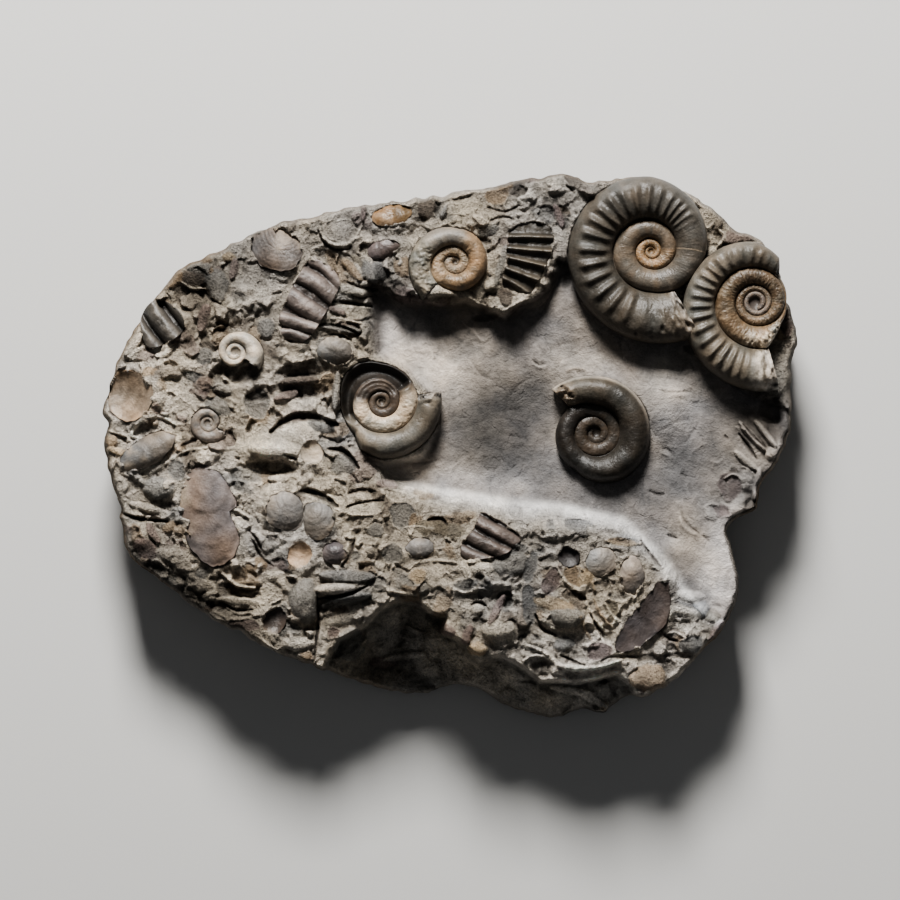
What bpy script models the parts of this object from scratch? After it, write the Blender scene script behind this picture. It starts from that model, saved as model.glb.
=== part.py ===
"""Ammonite cluster plate: a slab of shelly limestone with ammonites and bivalve shells.

The slab lies flat on its sawn-flat underside, fossils up.  X runs to the right of the
photograph, Y to its top and Z out of the fossil face; the origin is at the middle of the
bounding box, on the underside.

Places across the face were read off a photograph taken from straight above, so the tables
below give them in pixels of that 900 x 900 picture, from its top left corner.  Heights are
in millimetres above the underside, turns in degrees anticlockwise.
"""
import math
from collections import namedtuple

import bmesh
import bpy
import numpy as np
from mathutils import Vector, geometry

# Driving dimensions, in metres
PLATE_WIDTH = 0.222
SOCKET_GAP = 0.0003
MM = 0.001

# Heights of the slab's side, in millimetres: its widest line, and the undercut below it
BELT_HEIGHT = 13.0
APRON_BELT_HEIGHT = 8.0
UNDERCUT_HEIGHT = 4.5
UNDERCUT_INSET = 1.6
BASE_INSET = 4.5
RIM_WIDTH = 2.6
CUTTER_TOP = 60.0

# Fineness of the faceted surfaces, in pixels of the photograph
OUTLINE_SPACING = 20.0
MATRIX_SPACING = 17.0
LEDGE_SPACING = 15.0
RIM_RING = 7.0
FRAGMENT_SPACING = 10.0
CURVE_STEPS = 16
SMOOTH_ANGLE = 40

# How near the points of the rock's face may lie to its edge and to each other, in pixels
RIM_CLEARANCE = 6.3
LEDGE_RIM_CLEARANCE = 13.3
GRID_RIM_CLEARANCE = 15.5
LEDGE_CLEARANCE = 6.0
GRID_CLEARANCE = 10.5
FLAT_FLOOR = 0.97
POINT_TOLERANCE = 1e-4

OUTLINE = [
    (103, 412), (108, 393), (117, 362), (137, 325), (155, 299), (171, 276), (206, 255),
    (255, 233), (280, 222), (340, 209), (390, 201), (455, 192), (510, 182), (562, 174),
    (590, 181), (626, 177), (655, 178), (680, 189), (712, 207), (735, 227), (760, 239),
    (776, 266), (788, 300), (797, 336), (797, 352), (792, 368), (791, 413), (789, 435),
    (776, 465), (760, 488), (757, 508), (745, 518), (729, 528), (732, 545), (740, 575),
    (736, 600), (727, 620), (716, 638), (699, 654), (685, 671), (662, 690), (645, 697),
    (626, 699), (607, 714), (585, 712), (555, 719), (525, 713), (500, 704), (476, 690),
    (449, 687), (425, 695), (403, 695), (370, 687), (340, 677), (313, 667), (283, 655),
    (245, 637), (200, 612), (168, 586), (145, 571), (129, 554), (121, 529), (119, 511),
    (112, 482), (105, 454), (105, 440), (108, 424),
]

# The hollow that was cleaned smooth: its edge, and how wide the slope into it is there
BASIN_EDGE = [
    (377, 303, 5), (374, 352, 6), (400, 366, 8), (432, 398, 8), (436, 425, 8), (420, 452, 10),
    (372, 462, 12), (385, 482, 12), (430, 496, 15), (500, 508, 16), (560, 514, 16),
    (618, 527, 16), (655, 560, 15), (684, 600, 14), (712, 622, 10), (760, 640, 10),
    (800, 560, 10), (800, 452, 10), (788, 408, 8), (755, 398, 8), (715, 372, 8),
    (690, 335, 7), (628, 336, 6), (585, 305, 6), (570, 268, 5), (558, 262, 5),
    (548, 288, 5), (505, 318, 5), (460, 306, 5), (412, 305, 5),
]

# Heights of the rough rock and of the hollow's floor, at places spread over each
ROUGH_HEIGHTS = [
    (120, 400, 29), (150, 300, 29), (150, 520, 29), (200, 280, 33), (200, 400, 33),
    (200, 500, 34), (190, 580, 29), (260, 250, 32), (260, 340, 34), (260, 430, 34),
    (260, 520, 35), (260, 600, 33), (330, 230, 34), (330, 320, 35), (330, 400, 33),
    (330, 480, 35), (330, 560, 36), (320, 640, 32), (400, 220, 35), (400, 270, 36),
    (460, 220, 35), (520, 200, 34), (520, 260, 35), (570, 210, 33), (620, 260, 31),
    (690, 220, 29), (740, 260, 29), (775, 320, 29), (780, 380, 28), (380, 420, 32),
    (400, 490, 34), (450, 510, 35), (510, 520, 36), (570, 530, 36), (620, 540, 35),
    (660, 580, 34), (690, 630, 30), (400, 560, 36), (400, 600, 35), (460, 570, 37),
    (460, 630, 34), (520, 580, 37), (520, 650, 33), (580, 590, 37), (580, 660, 32),
    (640, 610, 35), (640, 670, 30), (690, 650, 27),
]
FLOOR_HEIGHTS = [
    (400, 330, 27), (450, 330, 26), (500, 340, 27), (560, 300, 28), (560, 345, 28),
    (620, 355, 27), (660, 370, 28), (420, 410, 28), (450, 380, 27), (450, 450, 27),
    (500, 400, 26), (500, 460, 27), (540, 420, 25), (545, 480, 28), (590, 380, 28),
    (600, 490, 30), (650, 400, 30), (670, 460, 28), (660, 510, 29), (720, 420, 28),
    (745, 450, 29), (720, 480, 28), (700, 540, 29), (725, 590, 27), (690, 590, 31),
]
HEIGHT_REACH = 26.0

# The dark slope at the front, below the broken lower edge of the fossil face
APRON_EDGE = [
    (322, 690), (326, 664), (340, 640), (366, 626), (380, 610), (398, 601), (416, 601),
    (431, 613), (443, 618), (443, 632), (462, 642), (480, 660), (500, 656), (520, 666),
    (540, 681), (580, 682), (600, 678), (616, 674), (628, 684), (640, 710), (560, 760),
    (400, 740),
]
APRON_TOP = 25.0
APRON_FALL = 0.30
APRON_BLEND = 8.0
APRON_LEDGE_REACH = 4.0
BASIN_LEDGE_REACH = 6.5

# The part of a lump's radius over which its top is level
LUMP_TOP = 0.35
Lump = namedtuple("Lump", "place size turn rise")
LUMPS = [
    # Black hollows between the shells
    Lump((307, 384), (54, 30), -8, -8.0),
    Lump((257, 402), (34, 26), 20, -6.0),
    Lump((232, 376), (50, 22), 8, -6.0),
    Lump((197, 290), (40, 34), 60, -6.0),
    Lump((238, 606), (58, 24), -6, -7.0),
    Lump((145, 428), (26, 22), 0, -5.0),
    Lump((425, 212), (30, 26), 40, -6.0),
    Lump((272, 468), (52, 20), -4, -5.0),
    Lump((525, 408), (56, 46), 0, -2.0),
    Lump((773, 412), (20, 22), 0, -5.0),
    Lump((503, 598), (28, 24), 0, -6.0),
    Lump((541, 668), (28, 22), 0, -5.0),
    Lump((312, 496), (52, 16), -12, -4.0),
    Lump((725, 234), (46, 22), -20, -5.0),
    # Ledges and knobs that stand above the rest
    Lump((275, 452), (62, 20), -4, 3.0),
    Lump((205, 458), (44, 18), 25, 3.0),
    Lump((430, 290), (52, 20), -14, 3.0),
    Lump((520, 303), (50, 18), 20, 3.0),
    Lump((330, 235), (40, 38), 0, 3.0),
    Lump((160, 490), (34, 28), 0, 2.5),
    Lump((345, 590), (60, 22), 6, 3.0),
    Lump((305, 605), (32, 42), 0, 3.0),
    Lump((350, 645), (34, 28), 0, 3.0),
    Lump((420, 580), (50, 30), 10, 3.0),
    Lump((480, 575), (44, 34), -10, 3.0),
    Lump((525, 590), (26, 60), 0, -3.0),
    Lump((500, 625), (46, 30), 20, 3.0),
    Lump((567, 617), (42, 28), 0, 3.5),
    Lump((598, 649), (36, 24), 0, 3.0),
    Lump((580, 665), (90, 14), 6, 3.0),
    Lump((555, 530), (60, 20), -6, 3.0),
    Lump((690, 640), (30, 30), 40, 3.0),
    Lump((745, 500), (40, 26), 50, -3.0),
    Lump((655, 400), (60, 70), 20, 2.0),
    Lump((180, 560), (50, 26), -30, 3.0),
    Lump((140, 535), (30, 24), -40, 3.0),
    Lump((365, 510), (40, 34), 0, 2.5),
    Lump((220, 310), (40, 30), 0, 3.0),
    Lump((255, 300), (40, 26), -40, 3.0),
    Lump((365, 290), (26, 50), 20, 3.0),
    Lump((475, 222), (50, 22), 6, 3.0),
    Lump((400, 660), (60, 16), 6, 4.0),
    Lump((590, 702), (40, 14), 0, 4.0),
]

# Shape of a coil: the grooves between whorls, their arch and the ribs, as shares or millimetres
SEAM_SHARE = 0.42
SEAM_FADE = 14.0
WHORL_SHARES = (0.27, 0.70)
CROWN_POWER = 0.8
ARCH_POWER = 0.6
LEAST_ARCH = 0.3
NUCLEUS_RISE = 0.12
RIB_RISE = 0.9
RIB_FADE_IN = 30.0
RIB_FADE_OUT = 12.0
LEAST_RADIUS = 20.0
AMMONITE_SOCKET_SIDES = 20
SOCKET_WINDOW = 0.6
REACH_SAMPLES = 9
# A spiral is a list of angles along the growth, in degrees, each with the outer radius there
Ammonite = namedtuple("Ammonite", "name place hand spiral level thick sunk steps turns ribs rib_span")
AMMONITES = [
    Ammonite("ammonite_large", (650, 252), 1,
             [(-540, 15.5), (-450, 18), (-360, 25), (-270, 31), (-180, 38), (-90, 41), (0, 55),
              (90, 74), (180, 83), (225, 85), (270, 92), (300, 97)],
             32.5, 8.0, 5.5, 62, 2, 31, (30, 285)),
    Ammonite("ammonite_right", (754, 303), 1,
             [(-540, 20.4), (-450, 23.7), (-360, 29), (-290, 33), (-240, 36.5), (-180, 40.5),
              (-90, 46), (-76, 47), (-60, 39), (-40, 33), (0, 30.5), (48, 34.6), (62, 50),
              (90, 60), (180, 72), (270, 89), (285, 90)],
             33.5, 8.0, 5.5, 68, 2, 34, (60, 290)),
    Ammonite("ammonite_smooth", (595, 433), 1,
             [(-225, 19.5), (-180, 21), (-90, 23.5), (0, 24), (90, 28), (135, 36), (180, 40),
              (240, 42.5), (270, 49), (300, 54), (360, 54.5), (450, 57), (495, 60)],
             29.5, 6.5, 4.0, 30, 1, 0, None),
    Ammonite("ammonite_broken", (382, 402), 1,
             [(-350, 17.8), (-270, 22.8), (-180, 28.3), (-90, 30.8), (10, 36), (60, 36.5),
              (90, 38.5), (140, 46), (176, 41), (215, 41), (230, 42), (246, 52), (270, 57),
              (320, 59), (370, 60)],
             32.0, 5.5, 5.0, 36, 1, 0, None),
    Ammonite("ammonite_tan", (455, 263), 1,
             [(-490, 9), (-360, 13), (-270, 15), (-180, 23), (-130, 27), (-90, 28), (0, 31),
              (90, 33), (180, 46), (230, 50)],
             35.0, 6.0, 5.0, 30, 1, 0, None),
    Ammonite("ammonite_cream_small", (236, 353), -1,
             [(-325, 5), (-90, 8), (35, 12), (90, 14), (180, 16), (270, 20), (360, 29), (395, 30)],
             34.5, 4.0, 4.0, 24, 1, 0, None),
    Ammonite("coiled_shell_left", (209, 423), 1,
             [(-390, 4), (-180, 6), (-30, 10), (0, 12), (180, 17), (330, 23)],
             32.5, 3.0, 3.5, 22, 1, 0, None),
]

Shell = namedtuple("Shell", "name place size turn stand rise lean slot")
SHELLS = [
    Shell("shell_round_tan", (131, 395), (44, 46), 0, 0.6, 3.0, (-2.5, 0.0), "tan_shell"),
    Shell("shell_oval_grey", (148, 452), (66, 31), 28, 0.4, 4.0, (-2.0, 0.0), "grey_shell"),
    Shell("shell_tall_mauve", (209, 514), (99, 54), 98, 0.7, 2.2, (0.0, -1.8), "mauve_shell"),
    Shell("shell_pair_left", (283, 511), (39, 38), 0, 0.7, 3.0, (0.0, 1.0), "grey_shell"),
    Shell("shell_pair_right", (321, 521), (33, 39), 0, 0.7, 3.0, (0.0, 1.0), "grey_shell"),
    Shell("shell_cream_dish", (301, 555), (25, 28), 0, 1.2, -1.8, (0.0, 1.0), "tan_shell"),
    Shell("shell_purple_dome", (336, 553), (28, 23), 0, 0.3, 3.0, (0.0, -1.0), "mauve_shell"),
    Shell("shell_grey_dome", (336, 352), (38, 30), -8, 0.4, 4.0, (0.0, 0.0), "grey_shell"),
    Shell("shell_cream_round", (313, 453), (25, 24), 0, 0.8, -1.5, (0.0, 0.0), "tan_shell"),
    Shell("shell_glossy_orange", (392, 217), (38, 20), 10, 0.4, 3.5, (0.0, -1.5), "orange_shell"),
    Shell("shell_mauve_flat", (384, 250), (36, 20), 22, 0.5, 2.0, (0.0, 0.0), "mauve_shell"),
    Shell("shell_banded", (280, 249), (54, 42), -32, 0.4, 3.2, (0.0, -2.0), "banded_shell"),
    Shell("shell_smooth_grey", (600, 561), (33, 31), 0, 0.4, 2.5, (0.0, 0.0), "grey_shell"),
    Shell("shell_tall_grey", (631, 575), (27, 40), 0, 0.4, 3.5, (0.0, 0.0), "grey_shell"),
    Shell("shell_long_trough", (645, 614), (88, 31), 56, 1.6, -0.9, (-1.0, 0.0), "mauve_shell"),
    Shell("shell_hollow_left", (275, 620), (30, 24), 60, 0.6, -2.5, (0.0, 0.0), "dark_shell"),
    Shell("shell_hollow_right", (568, 556), (22, 22), 0, 0.5, -2.0, (0.0, 0.0), "dark_shell"),
    Shell("shell_dark_grey_dome", (420, 547), (31, 20), 0, 0.4, 2.5, (0.0, -1.0), "grey_shell"),
]

Fragment = namedtuple("Fragment", "name outline stand rise rib_turn rib_pitch rib_depth slot")
FRAGMENTS = [
    Fragment("whorl_piece_dark", [(510, 232), (530, 223), (551, 230), (551, 254), (538, 282),
                                  (528, 294), (503, 288), (506, 262)],
             0.8, 1.5, 2, 13.0, 1.6, "dark_ammonite"),
    Fragment("whorl_piece_mauve", [(312, 263), (346, 280), (341, 300), (322, 322), (304, 344),
                                   (281, 328), (288, 300), (300, 277)],
             0.8, 2.5, -30, 20.0, 2.0, "mauve_shell"),
    Fragment("whorl_piece_left", [(142, 318), (158, 300), (180, 311), (185, 330), (168, 344),
                                  (148, 347)],
             0.8, 2.0, -56, 21.0, 2.0, "dark_ammonite"),
    Fragment("whorl_piece_lower", [(485, 512), (519, 535), (514, 546), (500, 555), (466, 559),
                                   (461, 546), (474, 526)],
             0.6, 2.0, -28, 11.0, 1.3, "mauve_shell"),
]
# Ribs of the pieces: rows of points to either side, their reach and spacing along a rib
RIB_ROWS = 8
RIB_REACH = 60.0
RIB_POINT_PITCH = 0.9
RIB_CLEARANCE = 2.5

# Feet of the fossils in the rock, in millimetres, and how far they draw in, in pixels
FOSSIL_SUNK = 4.0
FOOT_INSET = 1.0
COIL_FOOT_INSET = 6.0
STEEPEST_DROP = 7.0

# Rings of points on a bivalve shell: share of its size, number of points
SHELL_SIDES = 11
SHELL_RINGS = ((0.55, 5), (0.86, 11))
SHELL_RING_TURN = 14
SHELL_CURVE = 0.98

# Principled colours, linear RGB, with roughness
MATERIALS = {
    "matrix": ((0.23, 0.20, 0.17), 0.92),
    "dark_ammonite": ((0.090, 0.080, 0.062), 0.48),
    "brown_ammonite": ((0.13, 0.095, 0.065), 0.42),
    "tan_ammonite": ((0.34, 0.25, 0.16), 0.50),
    "tan_shell": ((0.36, 0.27, 0.18), 0.55),
    "orange_shell": ((0.38, 0.22, 0.12), 0.30),
    "grey_shell": ((0.20, 0.20, 0.20), 0.55),
    "mauve_shell": ((0.19, 0.14, 0.14), 0.50),
    "banded_shell": ((0.26, 0.20, 0.18), 0.55),
    "dark_shell": ((0.085, 0.070, 0.062), 0.45),
}
AMMONITE_SLOTS = {
    "ammonite_large": "dark_ammonite",
    "ammonite_right": "brown_ammonite",
    "ammonite_smooth": "dark_ammonite",
    "ammonite_broken": "brown_ammonite",
    "ammonite_tan": "tan_ammonite",
    "ammonite_cream_small": "tan_ammonite",
    "coiled_shell_left": "tan_ammonite",
}


def clear_scene():
    """Removes whatever a new file starts with."""
    for item in list(bpy.data.objects):
        bpy.data.objects.remove(item, do_unlink=True)


def smooth_step(value):
    """Eases a value from 0 to 1, and holds it there outside that range."""
    share = np.clip(value, 0.0, 1.0)
    return share * share * (3.0 - 2.0 * share)


def smooth_loop(points, spacing):
    """Evenly spread points of the closed curve that runs through the given ones."""
    corners = np.array(points, dtype=float)
    dense = []
    count = len(corners)
    for index in range(count):
        before, start, stop, after = (corners[(index + k) % count] for k in (-1, 0, 1, 2))
        for share in np.linspace(0.0, 1.0, CURVE_STEPS, endpoint=False):
            dense.append(0.5 * (2 * start + (stop - before) * share
                                + (2 * before - 5 * start + 4 * stop - after) * share ** 2
                                + (3 * start - before - 3 * stop + after) * share ** 3))
    dense.append(dense[0])
    dense = np.array(dense)
    run = np.concatenate([[0.0], np.cumsum(np.hypot(*np.diff(dense, axis=0).T))])
    stations = np.linspace(0.0, run[-1], int(round(run[-1] / spacing)), endpoint=False)
    return np.column_stack([np.interp(stations, run, dense[:, axis]) for axis in (0, 1)])


def path_distance(x, y, path):
    """Distance from each point to a closed path, and the nearest segment and share of it."""
    nearest = np.full(x.shape, np.inf)
    segment = np.zeros(x.shape, dtype=int)
    share = np.zeros(x.shape)
    for index in range(len(path)):
        start = path[index]
        along = path[(index + 1) % len(path)] - start
        place = ((x - start[0]) * along[0] + (y - start[1]) * along[1]) / (along @ along)
        place = np.clip(place, 0.0, 1.0)
        away = np.hypot(x - start[0] - along[0] * place, y - start[1] - along[1] * place)
        closer = away < nearest
        nearest = np.where(closer, away, nearest)
        segment = np.where(closer, index, segment)
        share = np.where(closer, place, share)
    return nearest, segment, share


def inside_path(x, y, path):
    """Whether each point lies inside a closed path."""
    inside = np.zeros(x.shape, dtype=bool)
    for index in range(len(path)):
        x0, y0 = path[index]
        x1, y1 = path[(index + 1) % len(path)]
        if y0 == y1:
            continue
        crosses = (y0 > y) != (y1 > y)
        inside ^= crosses & (x < (x1 - x0) * (y - y0) / (y1 - y0) + x0)
    return inside


def signed_distance(x, y, path):
    """Distance to a closed path, positive inside it."""
    away = path_distance(x, y, path)[0]
    return np.where(inside_path(x, y, path), away, -away)


def blended_height(x, y, places):
    """Smooth surface through heights given at scattered places."""
    total = np.zeros(x.shape)
    weight = np.full(x.shape, 1e-12)
    for place_x, place_y, height in places:
        near = np.exp(-((x - place_x) ** 2 + (y - place_y) ** 2) / (2.0 * HEIGHT_REACH ** 2))
        total += near * height
        weight += near
    return total / weight


def oval_radius(x, y, place, size, turn):
    """Distance from an oval's middle, as a share of the oval's own radius that way."""
    angle = math.radians(turn)
    across = x - place[0]
    up = place[1] - y
    along = across * math.cos(angle) + up * math.sin(angle)
    aside = up * math.cos(angle) - across * math.sin(angle)
    return np.hypot(along / (size[0] / 2.0), aside / (size[1] / 2.0))


def basin_share(x, y):
    """1 on the floor of the smooth hollow, 0 on the rough rock, between them on its slopes."""
    edge = np.array([point[:2] for point in BASIN_EDGE], dtype=float)
    widths = np.array([point[2] for point in BASIN_EDGE], dtype=float)
    away, segment, share = path_distance(x, y, edge)
    width = widths[segment] * (1.0 - share) + widths[(segment + 1) % len(widths)] * share
    away = np.where(inside_path(x, y, edge), away, -away)
    return smooth_step(0.5 + 0.5 * away / width)


def matrix_height(x, y, plate):
    """Height of the rock in millimetres at points of the photograph."""
    basin = basin_share(x, y)
    height = blended_height(x, y, ROUGH_HEIGHTS) * (1.0 - basin)
    height += blended_height(x, y, FLOOR_HEIGHTS) * basin
    for lump in LUMPS:
        radius = oval_radius(x, y, lump.place, lump.size, lump.turn)
        height += lump.rise * (1.0 - smooth_step(radius - LUMP_TOP))
    below = signed_distance(x, y, np.array(APRON_EDGE, dtype=float))
    apron = smooth_step(0.5 + below / APRON_BLEND)
    slope = APRON_TOP - APRON_FALL * np.clip(below, 0.0, None)
    height = height * (1.0 - apron) + slope * apron
    inward = path_distance(x, y, plate)[0] * pixel_size(plate) / MM
    belt = BELT_HEIGHT * (1.0 - apron) + APRON_BELT_HEIGHT * apron
    rise = np.sqrt(np.clip(inward / RIM_WIDTH, 0.0, 1.0))
    return belt + (height - belt) * rise


def pixel_size(plate):
    """Metres on the slab for one pixel of the photograph."""
    return PLATE_WIDTH / np.ptp(plate[:, 0])


def to_metres(points, plate):
    """Points of the photograph, with heights in millimetres, as places in the part's frame."""
    middle = (plate.min(axis=0) + plate.max(axis=0)) / 2.0
    scale = pixel_size(plate)
    return [((x - middle[0]) * scale, (middle[1] - y) * scale, z * MM) for x, y, z in points]


def make_object(name, vertices, faces, slot):
    """A named object with its own material, from vertices in metres."""
    mesh = bpy.data.meshes.new(name)
    builder = bmesh.new()
    made = [builder.verts.new(vertex) for vertex in vertices]
    for face in faces:
        builder.faces.new([made[index] for index in face])
    bmesh.ops.triangulate(builder, faces=list(builder.faces))
    bmesh.ops.recalc_face_normals(builder, faces=list(builder.faces))
    builder.to_mesh(mesh)
    builder.free()
    mesh.shade_smooth()
    mesh.set_sharp_from_angle(angle=math.radians(SMOOTH_ANGLE))
    item = bpy.data.objects.new(name, mesh)
    bpy.context.collection.objects.link(item)
    if slot is not None:
        item.data.materials.append(plain_material(name, slot))
    return item


def plain_material(name, slot):
    """A Principled material of the slot's colour, for one sub-part."""
    colour, roughness = MATERIALS[slot]
    material = bpy.data.materials.new(name + "_material")
    material.use_nodes = True
    shader = material.node_tree.nodes["Principled BSDF"]
    shader.inputs["Base Color"].default_value = (*colour, 1.0)
    shader.inputs["Roughness"].default_value = roughness
    shader.inputs["Metallic"].default_value = 0.0
    return material


def counter_clockwise(outline):
    """The outline's points in the order that runs anticlockwise seen from above."""
    x = outline[:, 0]
    y = -outline[:, 1]
    area = np.sum(x * np.roll(y, -1) - np.roll(x, -1) * y)
    return outline if area > 0 else outline[::-1]


def inset_loop(outline, amount, smoothing):
    """The outline moved inwards, after its small bumps are evened out."""
    loop = outline.copy()
    for _ in range(smoothing):
        loop = (np.roll(loop, 1, axis=0) + 2.0 * loop + np.roll(loop, -1, axis=0)) / 4.0
    along = np.roll(loop, -1, axis=0) - np.roll(loop, 1, axis=0)
    normal = np.column_stack([along[:, 1], -along[:, 0]])
    normal /= np.linalg.norm(normal, axis=1)[:, None]
    return loop + normal * amount


def triangulated_face(outline, interior):
    """Triangles over an outline with extra points inside it; the outline's points come first."""
    points = [Vector(point) for point in np.vstack([outline, interior])]
    border = [(index, (index + 1) % len(outline)) for index in range(len(outline))]
    inside_only = 1
    _, _, faces, origins, _, _ = geometry.delaunay_2d_cdt(
        points, border, [list(range(len(outline)))], inside_only, POINT_TOLERANCE)
    first = [group[0] for group in origins]
    return [tuple(first[index] for index in face) for face in faces]


def relief_solid(name, outline, interior, height, rings, plate, slot):
    """A closed solid: a relief over an outline, then rings of side walls and a flat bottom.

    Each ring is a loop with as many points as the outline, and their heights in millimetres.
    """
    outline = counter_clockwise(np.asarray(outline, dtype=float))
    flat = np.vstack([outline, interior])
    points = [(x, y, z) for (x, y), z in zip(flat, height(flat[:, 0], flat[:, 1]))]
    faces = triangulated_face(outline, interior)
    count = len(outline)
    upper = list(range(count))
    for loop, levels in rings(outline):
        lower = list(range(len(points), len(points) + count))
        points += [(x, y, z) for (x, y), z in zip(loop, levels)]
        for index in range(count):
            following = (index + 1) % count
            faces.append((upper[index], upper[following], lower[following], lower[index]))
        upper = lower
    faces.append(tuple(upper))
    return make_object(name, to_metres(points, plate), faces, slot)


def plinth_rings(plane):
    """The ring of a fossil's buried foot: below its edge and a little inside it."""
    def rings(outline):
        foot = inset_loop(outline, FOOT_INSET, 0)
        return [(foot, plane(foot[:, 0], foot[:, 1]) - FOSSIL_SUNK)]
    return rings


def socket_floor(loop, plane):
    """Heights of a socket's floor, a narrow gap below the fossil's foot."""
    return plane(loop[:, 0], loop[:, 1]) - FOSSIL_SUNK - SOCKET_GAP / MM


def matrix_rings(plate_scale):
    """Rings for the slab's side: an undercut, then the edge of its flat underside."""
    def rings(outline):
        undercut = inset_loop(outline, UNDERCUT_INSET * MM / plate_scale, 1)
        base = inset_loop(outline, BASE_INSET * MM / plate_scale, 3)
        return [(undercut, [UNDERCUT_HEIGHT] * len(outline)), (base, [0.0] * len(outline))]
    return rings


def spread_points(outline, spacing, margin):
    """A triangular grid of points inside an outline, kept clear of its edge."""
    low = outline.min(axis=0)
    high = outline.max(axis=0)
    rows = []
    for row, y in enumerate(np.arange(low[1], high[1], spacing * math.sqrt(0.75))):
        shift = spacing / 2.0 if row % 2 else 0.0
        rows += [(x + shift, y) for x in np.arange(low[0], high[0], spacing)]
    points = np.array(rows)
    return points[signed_distance(points[:, 0], points[:, 1], outline) > margin]


def ledge_points(edge, reach, plate):
    """Points along the top and the foot of a ledge, so that its two edges stay clean."""
    loop = counter_clockwise(smooth_loop(edge, LEDGE_SPACING))
    points = np.vstack([inset_loop(loop, reach, 0), inset_loop(loop, -reach, 0)])
    return points[signed_distance(points[:, 0], points[:, 1], plate) > LEDGE_RIM_CLEARANCE]


def clear_of(points, others, gap):
    """Those of the points that keep a distance from all the others."""
    apart = np.hypot(points[:, None, 0] - others[None, :, 0],
                     points[:, None, 1] - others[None, :, 1])
    return points[apart.min(axis=1) > gap]


def make_matrix(plate):
    """The rock, before the sockets of the fossils are cut."""
    scale = pixel_size(plate)
    rim = inset_loop(plate, RIM_RING, 0)
    rim = rim[path_distance(rim[:, 0], rim[:, 1], plate)[0] > RIM_CLEARANCE]
    basin = ledge_points([point[:2] for point in BASIN_EDGE], BASIN_LEDGE_REACH, plate)
    apron = ledge_points(APRON_EDGE, APRON_LEDGE_REACH, plate)
    ledges = np.vstack([basin, clear_of(apron, basin, LEDGE_CLEARANCE)])
    grid = spread_points(plate, MATRIX_SPACING, GRID_RIM_CLEARANCE)
    order = np.arange(len(grid))
    keep = (basin_share(grid[:, 0], grid[:, 1]) < FLAT_FLOOR) | (order % 2 == 0)
    grid = clear_of(grid[keep], ledges, GRID_CLEARANCE)
    interior = np.vstack([rim, ledges, grid])
    return relief_solid("matrix", plate, interior,
                        lambda x, y: matrix_height(x, y, plate),
                        matrix_rings(scale), plate, "matrix")


def oval_outline(place, size, turn, sides, grow):
    """Points of a turned oval, moved out by a number of pixels."""
    angle = math.radians(turn)
    steps = np.linspace(0.0, 2.0 * math.pi, sides, endpoint=False)
    along = (size[0] / 2.0 + grow) * np.cos(steps)
    aside = (size[1] / 2.0 + grow) * np.sin(steps)
    x = place[0] + along * math.cos(angle) - aside * math.sin(angle)
    y = place[1] - along * math.sin(angle) - aside * math.cos(angle)
    return np.column_stack([x, y])


def rock_plane(outline, stand, plate):
    """The tilted plane of a fossil's edge: that of the rock around it, and a little above."""
    heights = matrix_height(outline[:, 0], outline[:, 1], plate)
    heights = np.maximum(heights, np.median(heights) - STEEPEST_DROP)
    terms = np.column_stack([outline, np.ones(len(outline))])
    slope_x, slope_y, level = np.linalg.lstsq(terms, heights, rcond=None)[0]
    return lambda x, y: slope_x * x + slope_y * y + level + stand


def shell_height(shell, plane):
    """Height of a bivalve shell: a dome, or a dish when its rise is negative."""
    def height(x, y):
        radius = np.clip(oval_radius(x, y, shell.place, shell.size, shell.turn), 0.0, 1.0)
        across = (x - shell.place[0]) / shell.size[0]
        up = (shell.place[1] - y) / shell.size[1]
        bulge = shell.rise * np.sqrt(1.0 - radius ** 2 * SHELL_CURVE)
        return plane(x, y) + bulge - shell.lean[0] * across + shell.lean[1] * up
    return height


def make_shell(shell, plate):
    """One bivalve shell, with a plain foot in the rock."""
    outline = oval_outline(shell.place, shell.size, shell.turn, SHELL_SIDES, 0.0)
    rings = []
    for share, sides in SHELL_RINGS:
        size = (shell.size[0] * share, shell.size[1] * share)
        turn = shell.turn + SHELL_RING_TURN
        rings.append(oval_outline(shell.place, size, turn, sides, 0.0))
    interior = np.vstack(rings + [np.array([shell.place], dtype=float)])
    plane = rock_plane(outline, shell.stand, plate)
    return relief_solid(shell.name, outline, interior, shell_height(shell, plane),
                        plinth_rings(plane), plate, shell.slot)


def make_shell_cutter(shell, plate):
    """The socket of a bivalve shell: its own outline and a narrow gap around it."""
    gap = SOCKET_GAP / pixel_size(plate)
    plane = rock_plane(oval_outline(shell.place, shell.size, shell.turn, SHELL_SIDES, 0.0),
                       shell.stand, plate)
    outline = oval_outline(shell.place, shell.size, shell.turn, SHELL_SIDES, gap)
    return make_cutter(shell.name, [(outline, socket_floor(outline, plane))], plate)


def fragment_height(fragment, plane):
    """Height of a ribbed piece of whorl: a low crown crossed by even ribs."""
    outline = np.array(fragment.outline, dtype=float)
    middle = outline.mean(axis=0)
    angle = math.radians(fragment.rib_turn)
    reach = np.linalg.norm(outline - middle, axis=1).mean()

    def height(x, y):
        across = x - middle[0]
        up = middle[1] - y
        aside = up * math.cos(angle) - across * math.sin(angle)
        along = across * math.cos(angle) + up * math.sin(angle)
        ribs = 0.5 + 0.5 * np.cos(2.0 * math.pi * aside / fragment.rib_pitch)
        crown = 1.0 - np.clip(np.abs(along) / reach, 0.0, 1.0) ** 2
        return plane(x, y) + fragment.rise * crown + fragment.rib_depth * ribs
    return height


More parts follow.
